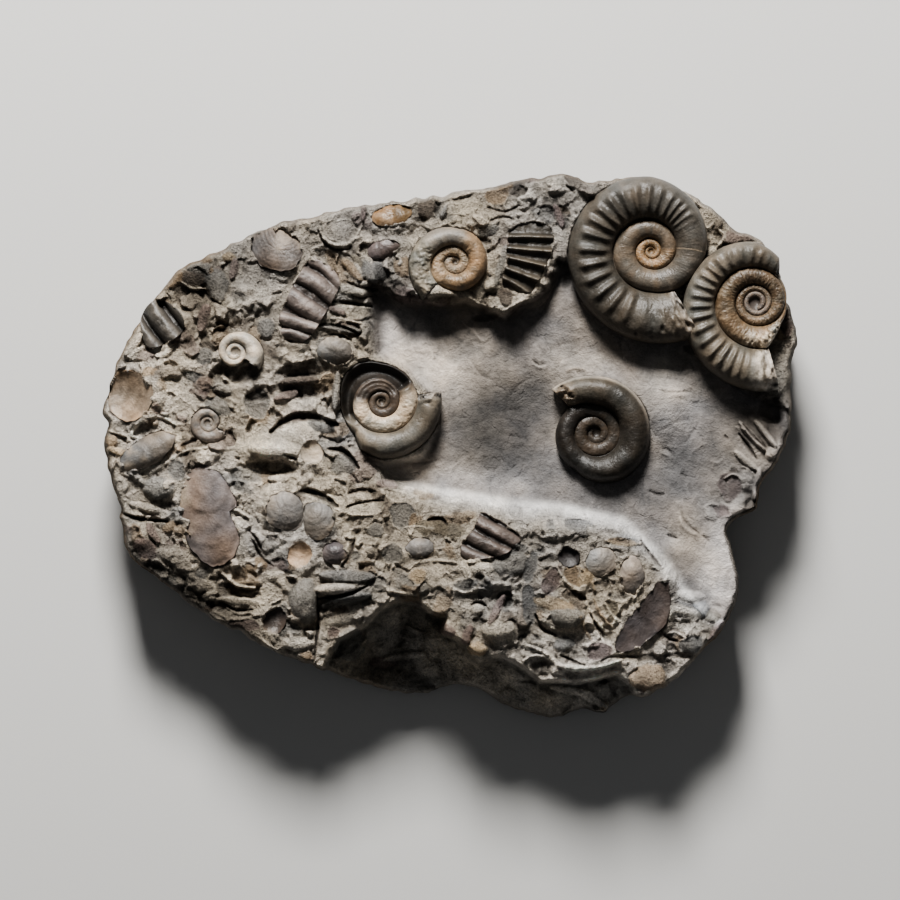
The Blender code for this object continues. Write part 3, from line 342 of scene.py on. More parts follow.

# Bits of shell and hollows in the rough rock: kind, place, length, width, turn, rise and tint.
# A dome rises and a dish sinks by its rise; a pit is a steep-sided hollow darkened with painted
# shade, and a bar a rounded ridge.
Bit = namedtuple("Bit", "kind place size turn rise tint")
BITS = [Bit(kind, (x, y), (long, wide), *rest) for kind, x, y, long, wide, *rest in (
    # Upper left
    ("pit", 196, 298, 36, 42, 60, 4.0, "brown"), ("dome", 195, 280, 28, 17, -6, 1.5, "brown"),
    ("dome", 218, 284, 22, 34, 20, 1.8, "grey"), ("pit", 223, 325, 13, 26, -30, 3.0, "dark"),
    ("pit", 206, 340, 10, 18, 20, 2.5, "dark"), ("pit", 190, 333, 16, 20, 0, 2.0, "brown"),
    ("pit", 258, 311, 20, 15, 10, 3.0, "dark"), ("pit", 240, 298, 18, 12, -20, 2.0, "grey"),
    ("pit", 242, 325, 22, 10, 10, 2.0, "brown"), ("dome", 267, 329, 18, 20, 0, 1.2, "grey"),
    ("bar", 235, 270, 22, 9, 80, 1.2, "mauve"), ("bar", 205, 318, 30, 12, 75, 1.6, "mauve"),
    ("pit", 266, 269, 22, 11, -50, 2.5, "dark"), ("pit", 123, 361, 17, 9, 10, 2.2, "dark"),
    ("dome", 211, 272, 10, 8, 0, 1.0, "tan"), ("dome", 207, 262, 13, 8, 10, 0.9, "tan"),
    ("dome", 230, 258, 14, 10, 0, 1.0, "cream"), ("dome", 176, 281, 22, 12, 45, 1.4, "tan"),
    ("pit", 283, 362, 24, 8, -22, 2.4, "dark"), ("pit", 251, 294, 10, 7, 0, 1.2, "brown"),
    ("pit", 246, 272, 9, 5, -40, 1.4, "dark"), ("dome", 150, 372, 18, 10, 0, 0.8, "tan"),
    ("dome", 198, 372, 26, 22, 0, 1.0, "grey"), ("dome", 205, 357, 20, 16, 20, 0.8, "grey"),
    ("bar", 135, 345, 28, 9, 50, 1.0, "rock"), ("pit", 185, 345, 30, 9, 0, 2.2, "dark"),
    ("pit", 295, 270, 9, 8, 0, 2.0, "brown"),
    # Left edge and the middle of the left half
    ("pit", 147, 428, 17, 13, 10, 3.0, "dark"), ("pit", 126, 424, 24, 8, 10, 2.0, "dark"),
    ("pit", 120, 435, 20, 6, -22, 2.0, "dark"), ("dome", 112, 441, 14, 12, 0, 1.2, "tan"),
    ("bar", 120, 452, 22, 8, -20, 1.0, "cream"), ("pit", 222, 398, 38, 8, -26, 2.6, "dark"),
    ("dome", 219, 407, 28, 18, -20, 1.2, "grey"), ("pit", 202, 409, 10, 5, 10, 1.6, "dark"),
    ("pit", 243, 422, 12, 10, 0, 2.2, "dark"), ("pit", 234, 433, 9, 12, 30, 2.0, "dark"),
    ("dish", 178, 470, 17, 22, 25, 1.4, "grey"), ("dome", 160, 488, 32, 24, 0, 2.2, "grey"),
    ("pit", 165, 503, 26, 7, -14, 1.8, "dark"), ("pit", 192, 454, 20, 7, -6, 2.2, "dark"),
    ("dish", 263, 431, 15, 15, 0, 1.2, "pale"), ("dome", 272, 447, 58, 26, -4, 2.4, "pale"),
    ("pit", 272, 468, 52, 15, -4, 5.0, "dark"), ("dish", 258, 404, 26, 30, 0, 2.0, "grey"),
    ("pit", 262, 394, 34, 16, 14, 4.0, "brown"), ("bar", 288, 395, 26, 10, 20, 1.4, "mauve"),
    ("pit", 240, 487, 14, 9, -30, 1.6, "grey"), ("pit", 222, 373, 26, 15, 20, 4.0, "dark"),
    ("pit", 248, 374, 32, 17, 30, 5.0, "dark"), ("pit", 265, 550, 34, 30, 0, 0.9, "grey"),
    ("dome", 147, 549, 20, 27, 40, 1.4, "mauve"), ("pit", 131, 534, 10, 15, -50, 1.8, "dark"),
    ("pit", 168, 546, 18, 5, -4, 1.8, "dark"), ("bar", 154, 533, 24, 9, -60, 1.2, "mauve"),
    ("dome", 172, 526, 20, 11, 25, 1.0, "tan"), ("bar", 150, 508, 40, 9, -14, 1.2, "rock"),
    ("dome", 280, 478, 22, 8, 0, 0.8, "rock"), ("dome", 247, 452, 14, 22, 10, 0.8, "rock"),
    # Black hollows left of the broken ammonite
    ("pit", 305, 371, 56, 20, 10, 7.0, "dark"), ("pit", 303, 391, 58, 18, -4, 6.0, "dark"),
    ("bar", 300, 381, 40, 9, 4, 2.0, "brown"), ("pit", 331, 406, 8, 20, 0, 3.0, "dark"),
    ("bar", 337, 390, 40, 8, 85, 2.2, "grey"), ("dome", 300, 434, 44, 24, 4, 1.8, "pale"),
    ("dome", 322, 425, 30, 16, -10, 1.2, "grey"),
    # Middle, above the hollow
    ("pit", 331, 229, 14, 7, 0, 1.4, "dark"), ("dish", 342, 232, 34, 22, 0, 2.0, "rock"),
    ("pit", 356, 248, 24, 11, 50, 3.0, "dark"), ("bar", 364, 214, 18, 5, 88, 1.4, "mauve"),
    ("bar", 352, 270, 30, 10, -50, 1.8, "tan"), ("bar", 362, 266, 26, 8, -48, 1.4, "olive"),
    ("dome", 373, 272, 30, 22, -20, 2.4, "grey"), ("pit", 385, 280, 16, 34, 30, 4.0, "dark"),
    ("pit", 398, 288, 20, 12, -40, 3.0, "dark"), ("dome", 403, 268, 18, 20, 0, 1.4, "tan"),
    ("dome", 352, 291, 34, 14, -12, 1.5, "pale"), ("dish", 350, 312, 46, 16, -4, 1.6, "pale"),
    ("bar", 337, 311, 20, 8, -22, 1.2, "mauve"), ("bar", 340, 329, 42, 8, -8, 1.4, "grey"),
    ("pit", 420, 218, 18, 18, 40, 4.5, "dark"), ("dome", 427, 210, 18, 20, -40, 1.8, "brown"),
    ("pit", 437, 209, 7, 18, -10, 3.0, "dark"), ("bar", 445, 212, 16, 6, 60, 1.2, "grey"),
    ("pit", 450, 210, 7, 12, 0, 2.0, "dark"), ("dish", 497, 197, 24, 18, 20, 1.2, "tan"),
    ("dome", 506, 187, 16, 8, 20, 0.8, "tan"), ("dome", 462, 208, 40, 18, 8, 1.2, "pale"),
    ("pit", 485, 242, 16, 7, -20, 1.8, "brown"), ("dome", 488, 232, 22, 12, 20, 1.2, "grey"),
    ("pit", 507, 232, 9, 10, 0, 2.0, "dark"), ("pit", 550, 207, 20, 15, -30, 2.8, "dark"),
    ("bar", 558, 217, 26, 8, -70, 1.4, "mauve"), ("pit", 565, 214, 9, 11, 0, 2.0, "brown"),
    ("dome", 562, 243, 20, 34, 10, 1.6, "rock"), ("pit", 558, 265, 22, 9, 0, 2.4, "dark"),
    ("pit", 566, 283, 10, 14, -30, 2.0, "dark"), ("dome", 505, 298, 15, 18, 0, 1.5, "brown"),
    ("pit", 484, 318, 28, 8, 6, 2.6, "dark"), ("dome", 492, 287, 16, 14, 0, 1.8, "pale"),
    ("dome", 430, 292, 50, 14, -6, 1.6, "pale"), ("pit", 445, 300, 34, 9, 0, 3.0, "dark"),
    ("pit", 488, 300, 12, 30, -30, 3.0, "dark"), ("bar", 500, 268, 42, 8, 75, 1.4, "grey"),
    # Top right
    ("pit", 704, 232, 16, 8, -20, 2.4, "dark"), ("dome", 736, 238, 32, 16, 4, 1.4, "mauve"),
    ("pit", 722, 246, 26, 6, 4, 2.2, "dark"), ("pit", 718, 238, 8, 10, 20, 1.8, "brown"),
    ("dome", 711, 254, 11, 15, 0, 1.4, "pale"), ("pit", 702, 258, 7, 26, -20, 2.6, "dark"),
    ("dome", 774, 372, 34, 46, 10, 2.4, "pale"), ("dish", 784, 322, 15, 30, 10, 1.6, "mauve"),
    ("pit", 787, 342, 8, 14, 10, 1.8, "brown"), ("pit", 690, 350, 16, 10, -20, 2.4, "dark"),
    # Right edge
    ("pit", 772, 410, 30, 26, -30, 5.0, "dark"), ("dome", 757, 421, 24, 10, -35, 1.2, "pale"),
    ("bar", 752, 437, 40, 7, -48, 1.6, "rock"), ("bar", 764, 433, 36, 7, -52, 1.8, "pale"),
    ("pit", 748, 448, 26, 6, -55, 1.8, "brown"), ("pit", 760, 442, 24, 5, -50, 1.6, "brown"),
    ("dome", 774, 452, 22, 16, 40, 1.8, "rock"), ("bar", 745, 461, 30, 8, -40, 1.2, "pale"),
    ("dish", 729, 486, 24, 28, 10, 1.2, "mauve"), ("dish", 733, 471, 9, 8, 0, 1.2, "brown"),
    ("dome", 747, 480, 14, 24, 10, 1.5, "pale"), ("bar", 756, 484, 34, 7, 80, 1.6, "rock"),
    ("pit", 748, 506, 10, 26, -35, 2.6, "dark"), ("dish", 719, 510, 28, 12, -14, 1.2, "mauve"),
    ("dome", 709, 513, 12, 18, 30, 1.2, "pale"), ("dome", 737, 505, 14, 26, -30, 1.4, "pale"),
    # Lower left
    ("pit", 242, 590, 54, 17, -3, 4.5, "dark"), ("bar", 242, 601, 50, 9, -6, 1.4, "pale"),
    ("dish", 245, 623, 32, 13, -8, 1.8, "mauve"), ("dome", 305, 600, 30, 46, 6, 3.0, "grey"),
    ("pit", 292, 582, 12, 14, 40, 3.0, "dark"), ("dish", 268, 592, 14, 11, -20, 1.4, "pale"),
    ("dome", 299, 643, 34, 15, 0, 2.4, "pale"), ("dome", 307, 655, 13, 10, 0, 1.4, "tan"),
    ("pit", 211, 604, 12, 9, 0, 1.8, "dark"), ("pit", 192, 596, 40, 18, -30, 4.0, "dark"),
    ("dome", 206, 573, 24, 14, 20, 1.4, "grey"), ("pit", 240, 577, 16, 8, -10, 1.8, "brown"),
    ("pit", 155, 567, 26, 11, -20, 3.0, "dark"), ("dome", 256, 565, 26, 16, 10, 1.2, "tan"),
    ("dome", 276, 575, 20, 10, 10, 1.2, "pale"), ("pit", 288, 628, 18, 8, 0, 1.6, "grey"),
    # Lower middle
    ("dish", 357, 555, 9, 11, 0, 0.9, "grey"), ("bar", 346, 575, 56, 13, -2, 2.2, "grey"),
    ("bar", 336, 588, 42, 12, 2, 1.8, "rock"), ("bar", 345, 600, 52, 11, 14, 1.6, "grey"),
    ("pit", 326, 607, 24, 7, 24, 2.0, "dark"), ("dome", 350, 645, 30, 34, -20, 3.0, "grey"),
    ("dish", 334, 632, 13, 11, 20, 0.9, "mauve"), ("dome", 346, 617, 46, 14, 14, 1.4, "pale"),
    ("dome", 371, 612, 16, 18, 0, 1.6, "rock"), ("pit", 372, 604, 9, 7, 0, 1.6, "brown"),
    ("dish", 393, 553, 22, 20, 0, 0.9, "grey"), ("dish", 418, 575, 17, 15, 20, 0.8, "cream"),
    ("pit", 437, 618, 26, 14, 0, 4.0, "dark"), ("dome", 446, 629, 20, 13, -20, 1.4, "mauve"),
    ("dish", 466, 584, 24, 12, 8, 1.5, "grey"), ("pit", 442, 592, 13, 8, 10, 1.4, "grey"),
    ("pit", 481, 580, 10, 16, 30, 2.4, "dark"), ("dome", 478, 608, 15, 12, 0, 1.4, "pale"),
    ("dome", 477, 648, 20, 15, 0, 2.8, "cream"), ("pit", 470, 636, 9, 22, -25, 2.8, "dark"),
    ("bar", 467, 634, 22, 10, 70, 1.2, "mauve"), ("dome", 500, 632, 38, 28, -20, 2.2, "pale"),
    ("dome", 476, 566, 40, 14, -6, 1.6, "pale"), ("dish", 366, 508, 40, 14, 4, 1.3, "pale"),
    ("bar", 388, 484, 22, 10, -10, 1.0, "mauve"), ("dish", 403, 515, 26, 28, 20, 1.6, "grey"),
    ("dish", 413, 520, 7, 15, -14, 0.6, "tan"), ("pit", 389, 529, 11, 14, 30, 2.2, "dark"),
    ("dome", 376, 530, 17, 14, 0, 1.2, "grey"), ("pit", 357, 530, 9, 6, 0, 1.4, "brown"),
    ("pit", 342, 516, 9, 6, -30, 1.2, "brown"), ("pit", 456, 512, 9, 6, 30, 1.4, "dark"),
    ("dome", 345, 465, 28, 22, 0, 1.0, "grey"), ("dome", 440, 530, 50, 20, -6, 1.0, "olive"),
    ("dish", 434, 541, 24, 16, 0, 0.7, "rock"),
    # Lower right
    ("dish", 517, 548, 22, 11, 0, 1.4, "grey"), ("pit", 537, 547, 20, 8, -24, 3.0, "dark"),
    ("pit", 550, 558, 26, 8, 8, 3.0, "dark"), ("dish", 571, 574, 15, 24, 8, 1.2, "tan"),
    ("dish", 551, 580, 16, 32, -28, 2.2, "mauve"), ("dome", 585, 578, 14, 24, -30, 1.4, "cream"),
    ("dome", 510, 563, 38, 26, 0, 1.8, "grey"), ("pit", 500, 558, 9, 6, 0, 1.4, "dark"),
    ("pit", 516, 563, 8, 7, 0, 1.4, "dark"), ("pit", 505, 572, 9, 6, 20, 1.2, "dark"),
    ("pit", 521, 589, 20, 7, 10, 2.6, "dark"), ("pit", 607, 582, 28, 7, 0, 2.8, "dark"),
    ("dish", 530, 566, 12, 34, -14, 1.6, "grey"), ("dish", 529, 603, 15, 42, 4, 1.8, "grey"),
    ("pit", 505, 598, 18, 18, 0, 5.0, "dark"), ("bar", 497, 607, 34, 9, 62, 1.6, "mauve"),
    ("dome", 566, 616, 36, 22, -8, 2.8, "grey"), ("dish", 610, 607, 14, 18, 30, 1.0, "olive"),
    ("pit", 618, 614, 6, 5, 0, 1.2, "dark"), ("dish", 598, 650, 26, 18, 10, 1.6, "mauve"),
    ("dome", 563, 643, 22, 14, 10, 1.6, "grey"), ("dome", 553, 603, 44, 14, -14, 1.4, "cream"),
    ("pit", 541, 668, 24, 20, 0, 4.5, "dark"), ("pit", 535, 646, 20, 7, -16, 2.4, "dark"),
    ("pit", 571, 651, 16, 5, -14, 2.0, "dark"), ("pit", 573, 676, 22, 10, -30, 3.0, "dark"),
    ("dome", 700, 608, 18, 18, 0, 1.8, "grey"), ("pit", 716, 605, 12, 4, -8, 1.4, "dark"),
    ("dome", 690, 596, 30, 14, -10, 1.8, "pale"), ("dome", 686, 611, 36, 12, -12, 1.8, "pale"),
    ("pit", 674, 602, 10, 5, 0, 1.6, "brown"), ("dish", 690, 644, 26, 18, 20, 1.6, "grey"),
    ("pit", 682, 655, 40, 8, -2, 3.0, "dark"), ("pit", 642, 657, 54, 8, 2, 2.6, "dark"),
    ("pit", 665, 665, 24, 15, -10, 4.0, "dark"), ("dome", 648, 677, 38, 28, 0, 3.0, "tan"),
    ("pit", 627, 690, 14, 12, 20, 2.0, "dark"), ("bar", 716, 630, 26, 10, 55, 1.4, "mauve"),
    ("pit", 700, 633, 24, 6, 6, 2.0, "brown"), ("dome", 712, 615, 16, 14, 0, 1.0, "olive"),
    ("dish", 620, 541, 30, 8, -6, 0.7, "tan"), ("pit", 585, 534, 26, 6, 0, 1.4, "dark"),
    ("pit", 610, 531, 22, 5, -8, 1.4, "brown"),
    # Broken bits on the front slope
    ("dome", 384, 664, 30, 14, 0, 1.8, "mauve"), ("bar", 405, 657, 44, 8, 8, 1.8, "rock"),
    ("dome", 430, 672, 26, 12, 10, 1.6, "rock"), ("dome", 418, 678, 24, 8, 14, 1.2, "rock"),
    ("bar", 571, 690, 46, 9, -10, 1.8, "rock"), ("bar", 592, 699, 34, 9, -30, 1.8, "rock"),
    ("dome", 604, 707, 9, 11, 0, 2.0, "cream"),
)]

# Thin shell edges, which rise, and cracks, which sink and whose dark and brown tints are painted
# shade: a path, its half width and its rise
Line = namedtuple("Line", "path width rise tint")
LINES = [Line(*row) for row in (
    ([(183, 283), (193, 289), (206, 289)], 1.8, 1.6, "pale"),
    ([(130, 440), (134, 431), (141, 422), (151, 417), (165, 418), (177, 425)], 2.4, 1.4, "pale"),
    ([(110, 431), (128, 436), (146, 438)], 1.4, 1.0, "pale"),
    ([(208, 448), (190, 450), (176, 457), (160, 468), (142, 478)], 1.9, 1.2, "pale"),
    ([(272, 432), (284, 422), (300, 416), (318, 418), (338, 425)], 4.5, -3.0, "dark"),
    ([(228, 508), (238, 510), (250, 517)], 2.0, 1.4, "pale"),
    ([(237, 522), (246, 527), (252, 524)], 1.8, 1.2, "pale"),
    ([(250, 530), (257, 538), (263, 550)], 1.8, -1.2, "brown"),
    ([(118, 511), (138, 518), (168, 521)], 2.4, -1.8, "dark"),
    ([(119, 528), (124, 545), (134, 560)], 2.0, -1.6, "dark"),
    ([(187, 530), (186, 542), (199, 553)], 1.8, 1.2, "pale"),
    ([(206, 588), (209, 578), (218, 570), (228, 577), (239, 585), (256, 587)], 2.2, 2.0, "pale"),
    ([(222, 598), (236, 606), (258, 603)], 1.8, 1.2, "pale"),
    ([(226, 605), (240, 613), (264, 607), (282, 598)], 1.8, 1.2, "pale"),
    ([(214, 610), (232, 618), (250, 617)], 2.0, 1.2, "pale"),
    ([(222, 601), (236, 609), (254, 609)], 1.5, -1.4, "brown"),
    ([(350, 540), (346, 552), (336, 563)], 1.8, 1.6, "pale"),
    ([(355, 540), (351, 553), (342, 566)], 2.2, -1.8, "brown"),
    ([(319, 598), (340, 595), (355, 591), (368, 585)], 1.9, -2.2, "dark"),
    ([(318, 596), (319, 620), (317, 640), (315, 660)], 1.8, -1.8, "brown"),
    ([(366, 640), (360, 649)], 1.6, 1.4, "pale"),
    ([(383, 584), (396, 591), (416, 594)], 2.0, 1.4, "pale"),
    ([(409, 569), (420, 561), (440, 560), (458, 562)], 1.8, 1.2, "pale"),
    ([(451, 586), (465, 592), (480, 587)], 2.0, 1.4, "pale"),
    ([(471, 604), (478, 601), (486, 605)], 1.6, -1.4, "brown"),
    ([(330, 449), (344, 451), (352, 459), (359, 468)], 3.2, -2.4, "dark"),
    ([(296, 494), (308, 491), (324, 497), (338, 506)], 3.8, -3.4, "dark"),
    ([(349, 493), (362, 490), (376, 491)], 2.4, -1.4, "brown"),
    ([(347, 507), (362, 502), (384, 500)], 1.6, -1.6, "dark"),
    ([(383, 488), (400, 491), (418, 496)], 1.4, 0.8, "pale"),
    ([(428, 520), (440, 518), (447, 524)], 2.2, -1.6, "brown"),
    ([(405, 527), (418, 526), (434, 528)], 1.6, 1.0, "pale"),
    ([(320, 228), (324, 239), (334, 246), (347, 246), (357, 238), (362, 227)], 2.4, 2.2, "pale"),
    ([(319, 232), (325, 244), (337, 251), (350, 250)], 1.4, -1.4, "brown"),
    ([(329, 302), (350, 304), (372, 307)], 2.4, -2.4, "dark"),
    ([(316, 319), (340, 320), (362, 324)], 1.8, 1.2, "pale"),
    ([(318, 325), (340, 327), (361, 335)], 2.0, -2.2, "dark"),
    ([(322, 337), (338, 335), (352, 341)], 1.6, -1.6, "dark"),
    ([(345, 282), (360, 288), (378, 290)], 1.8, -1.2, "brown"),
    ([(352, 296), (362, 299), (372, 297)], 1.4, -1.2, "brown"),
    ([(551, 257), (546, 268), (538, 281)], 1.5, 1.6, "pale"),
    ([(505, 311), (520, 303), (536, 299), (546, 290)], 2.4, 1.8, "pale"),
    ([(488, 209), (505, 213), (520, 206)], 1.4, -0.9, "brown"),
    ([(490, 222), (503, 218), (514, 221)], 1.4, -0.9, "brown"),
    ([(566, 187), (574, 194)], 1.5, -1.2, "brown"),
    ([(716, 229), (724, 236), (716, 248)], 1.6, 1.2, "pale"),
    ([(722, 245), (734, 246), (742, 242)], 1.4, -1.2, "dark"),
    ([(742, 424), (752, 436), (764, 447)], 1.5, -1.3, "brown"),
    ([(738, 434), (748, 447), (756, 460)], 1.5, -1.3, "brown"),
    ([(724, 478), (733, 474), (741, 480), (743, 492)], 1.6, 1.2, "pale"),
    ([(741, 466), (751, 472), (757, 484)], 1.6, 1.2, "pale"),
    ([(702, 508), (709, 504), (717, 505)], 1.5, 1.1, "pale"),
    ([(535, 614), (541, 627), (555, 634)], 2.6, -2.0, "brown"),
    ([(542, 613), (547, 624), (558, 629)], 1.8, 1.4, "pale"),
    ([(527, 644), (545, 652), (560, 664), (582, 667), (602, 665), (622, 658)], 3.4, 2.4, "pale"),
    ([(585, 600), (592, 615), (602, 628)], 1.8, 1.4, "pale"),
    ([(593, 598), (599, 612), (611, 626)], 1.5, 1.2, "tan"),
    ([(580, 615), (585, 630), (592, 640)], 1.6, 1.2, "tan"),
    ([(589, 612), (595, 624), (604, 634)], 1.4, -1.4, "brown"),
    ([(603, 600), (611, 614), (622, 622)], 1.4, 1.0, "pale"),
    ([(556, 566), (566, 582), (580, 588)], 2.0, 1.5, "pale"),
    ([(578, 566), (588, 576), (594, 590)], 2.0, 1.5, "cream"),
    ([(560, 654), (573, 660), (584, 664)], 1.6, -1.6, "dark"),
    ([(600, 660), (612, 655), (630, 655)], 1.6, -1.4, "dark"),
    ([(523, 660), (530, 655), (543, 655), (553, 662)], 2.0, 1.6, "pale"),
    ([(604, 540), (622, 544), (640, 543)], 1.4, 0.8, "cream"),
    ([(640, 540), (648, 552), (660, 566)], 1.8, -0.9, "brown"),
    ([(644, 556), (654, 566), (664, 574)], 1.4, 0.9, "pale"),
    ([(660, 630), (668, 638), (680, 641)], 1.6, -1.4, "brown"),
    ([(666, 632), (676, 632), (684, 637)], 1.5, 1.1, "pale"),
    ([(150, 405), (158, 411), (170, 412)], 1.5, -1.0, "brown"),
    ([(285, 455), (296, 459), (299, 466)], 1.6, -1.6, "dark"),
    ([(205, 290), (212, 300), (222, 305)], 1.8, -1.6, "dark"),
    ([(255, 540), (262, 556), (275, 566)], 1.4, -1.0, "brown"),
)]

# Faint marks on the cleaned floor, much lower than in the rough rock
MARKS = [Line(*row) for row in (
    ([(483, 458), (490, 456), (497, 460), (498, 467), (491, 471), (484, 467), (483, 458)], 1.2,
     -0.22, None),
    ([(532, 360), (538, 365), (545, 364)], 1.5, -0.5, None),
    ([(533, 364), (539, 368), (546, 367)], 1.3, 0.35, "pale"),
    ([(661, 448), (668, 450), (673, 456)], 1.5, -0.55, None),
    ([(661, 453), (666, 455), (671, 459)], 1.6, 0.45, "pale"),
    ([(710, 461), (716, 463), (721, 460)], 1.4, 0.40, "pale"),
    ([(704, 459), (690, 460), (692, 451), (700, 447)], 1.2, 0.18, None),
    ([(685, 484), (687, 492), (689, 497)], 1.4, 0.40, "pale"),
    ([(681, 512), (685, 523), (698, 533)], 1.5, -0.6, None),
    ([(679, 516), (683, 527), (695, 535)], 1.8, 0.5, "pale"),
    ([(649, 491), (656, 494), (663, 494)], 1.6, -0.6, "brown"),
    ([(681, 474), (685, 476)], 1.6, -0.5, "brown"),
    ([(668, 535), (676, 538)], 1.8, -0.7, "brown"),
    ([(703, 536), (708, 541)], 1.4, -0.6, "brown"),
    ([(462, 322), (475, 333), (482, 342), (489, 338)], 1.4, 0.35, "pale"),
    ([(466, 356), (474, 366), (480, 374), (492, 381)], 1.2, -0.3, None),
    ([(458, 352), (470, 362), (476, 372)], 1.2, 0.22, None),
    ([(536, 330), (537, 345), (548, 358), (552, 362)], 1.1, -0.28, None),
    ([(550, 352), (562, 345), (580, 341)], 1.1, -0.22, None),
    ([(560, 361), (570, 358), (582, 350)], 1.1, -0.22, None),
    ([(628, 368), (637, 379), (648, 384)], 1.3, -0.3, None),
    ([(658, 390), (672, 393), (690, 391)], 1.3, -0.35, None),
    ([(672, 398), (684, 399), (697, 396)], 1.1, -0.22, None),
    ([(662, 430), (676, 422), (690, 420)], 1.1, -0.25, None),
    ([(682, 446), (690, 436), (697, 424)], 1.1, -0.25, None),
    ([(500, 412), (512, 410), (524, 414)], 1.1, -0.25, None),
    ([(496, 434), (512, 436), (528, 440)], 1.1, -0.30, None),
    ([(544, 466), (560, 470), (580, 468)], 1.1, -0.2, None),
    ([(582, 489), (590, 486), (598, 492)], 1.4, 0.25, None),
    ([(430, 345), (434, 356), (434, 366)], 1.1, -0.2, None),
    ([(445, 340), (449, 352), (450, 362)], 1.1, -0.2, None),
    ([(407, 373), (402, 377)], 1.6, -0.6, "brown"),
    ([(402, 462), (420, 463), (440, 460)], 1.2, -0.3, None),
    ([(510, 395), (520, 384), (533, 377)], 1.2, -0.2, None),
    ([(566, 371), (576, 368), (584, 370)], 1.6, 0.4, "tan"),
    ([(724, 436), (727, 439)], 1.6, -0.6, "brown"), ([(735, 427), (744, 430)], 1.5, 0.5, "pale"),
    ([(612, 356), (622, 352), (634, 352)], 1.2, 0.25, None),
    ([(520, 375), (528, 371), (535, 373)], 1.2, 0.2, None),
    ([(680, 380), (690, 372), (700, 374)], 1.2, -0.2, None),
    ([(440, 489), (452, 487), (466, 488)], 1.1, -0.2, None),
)]

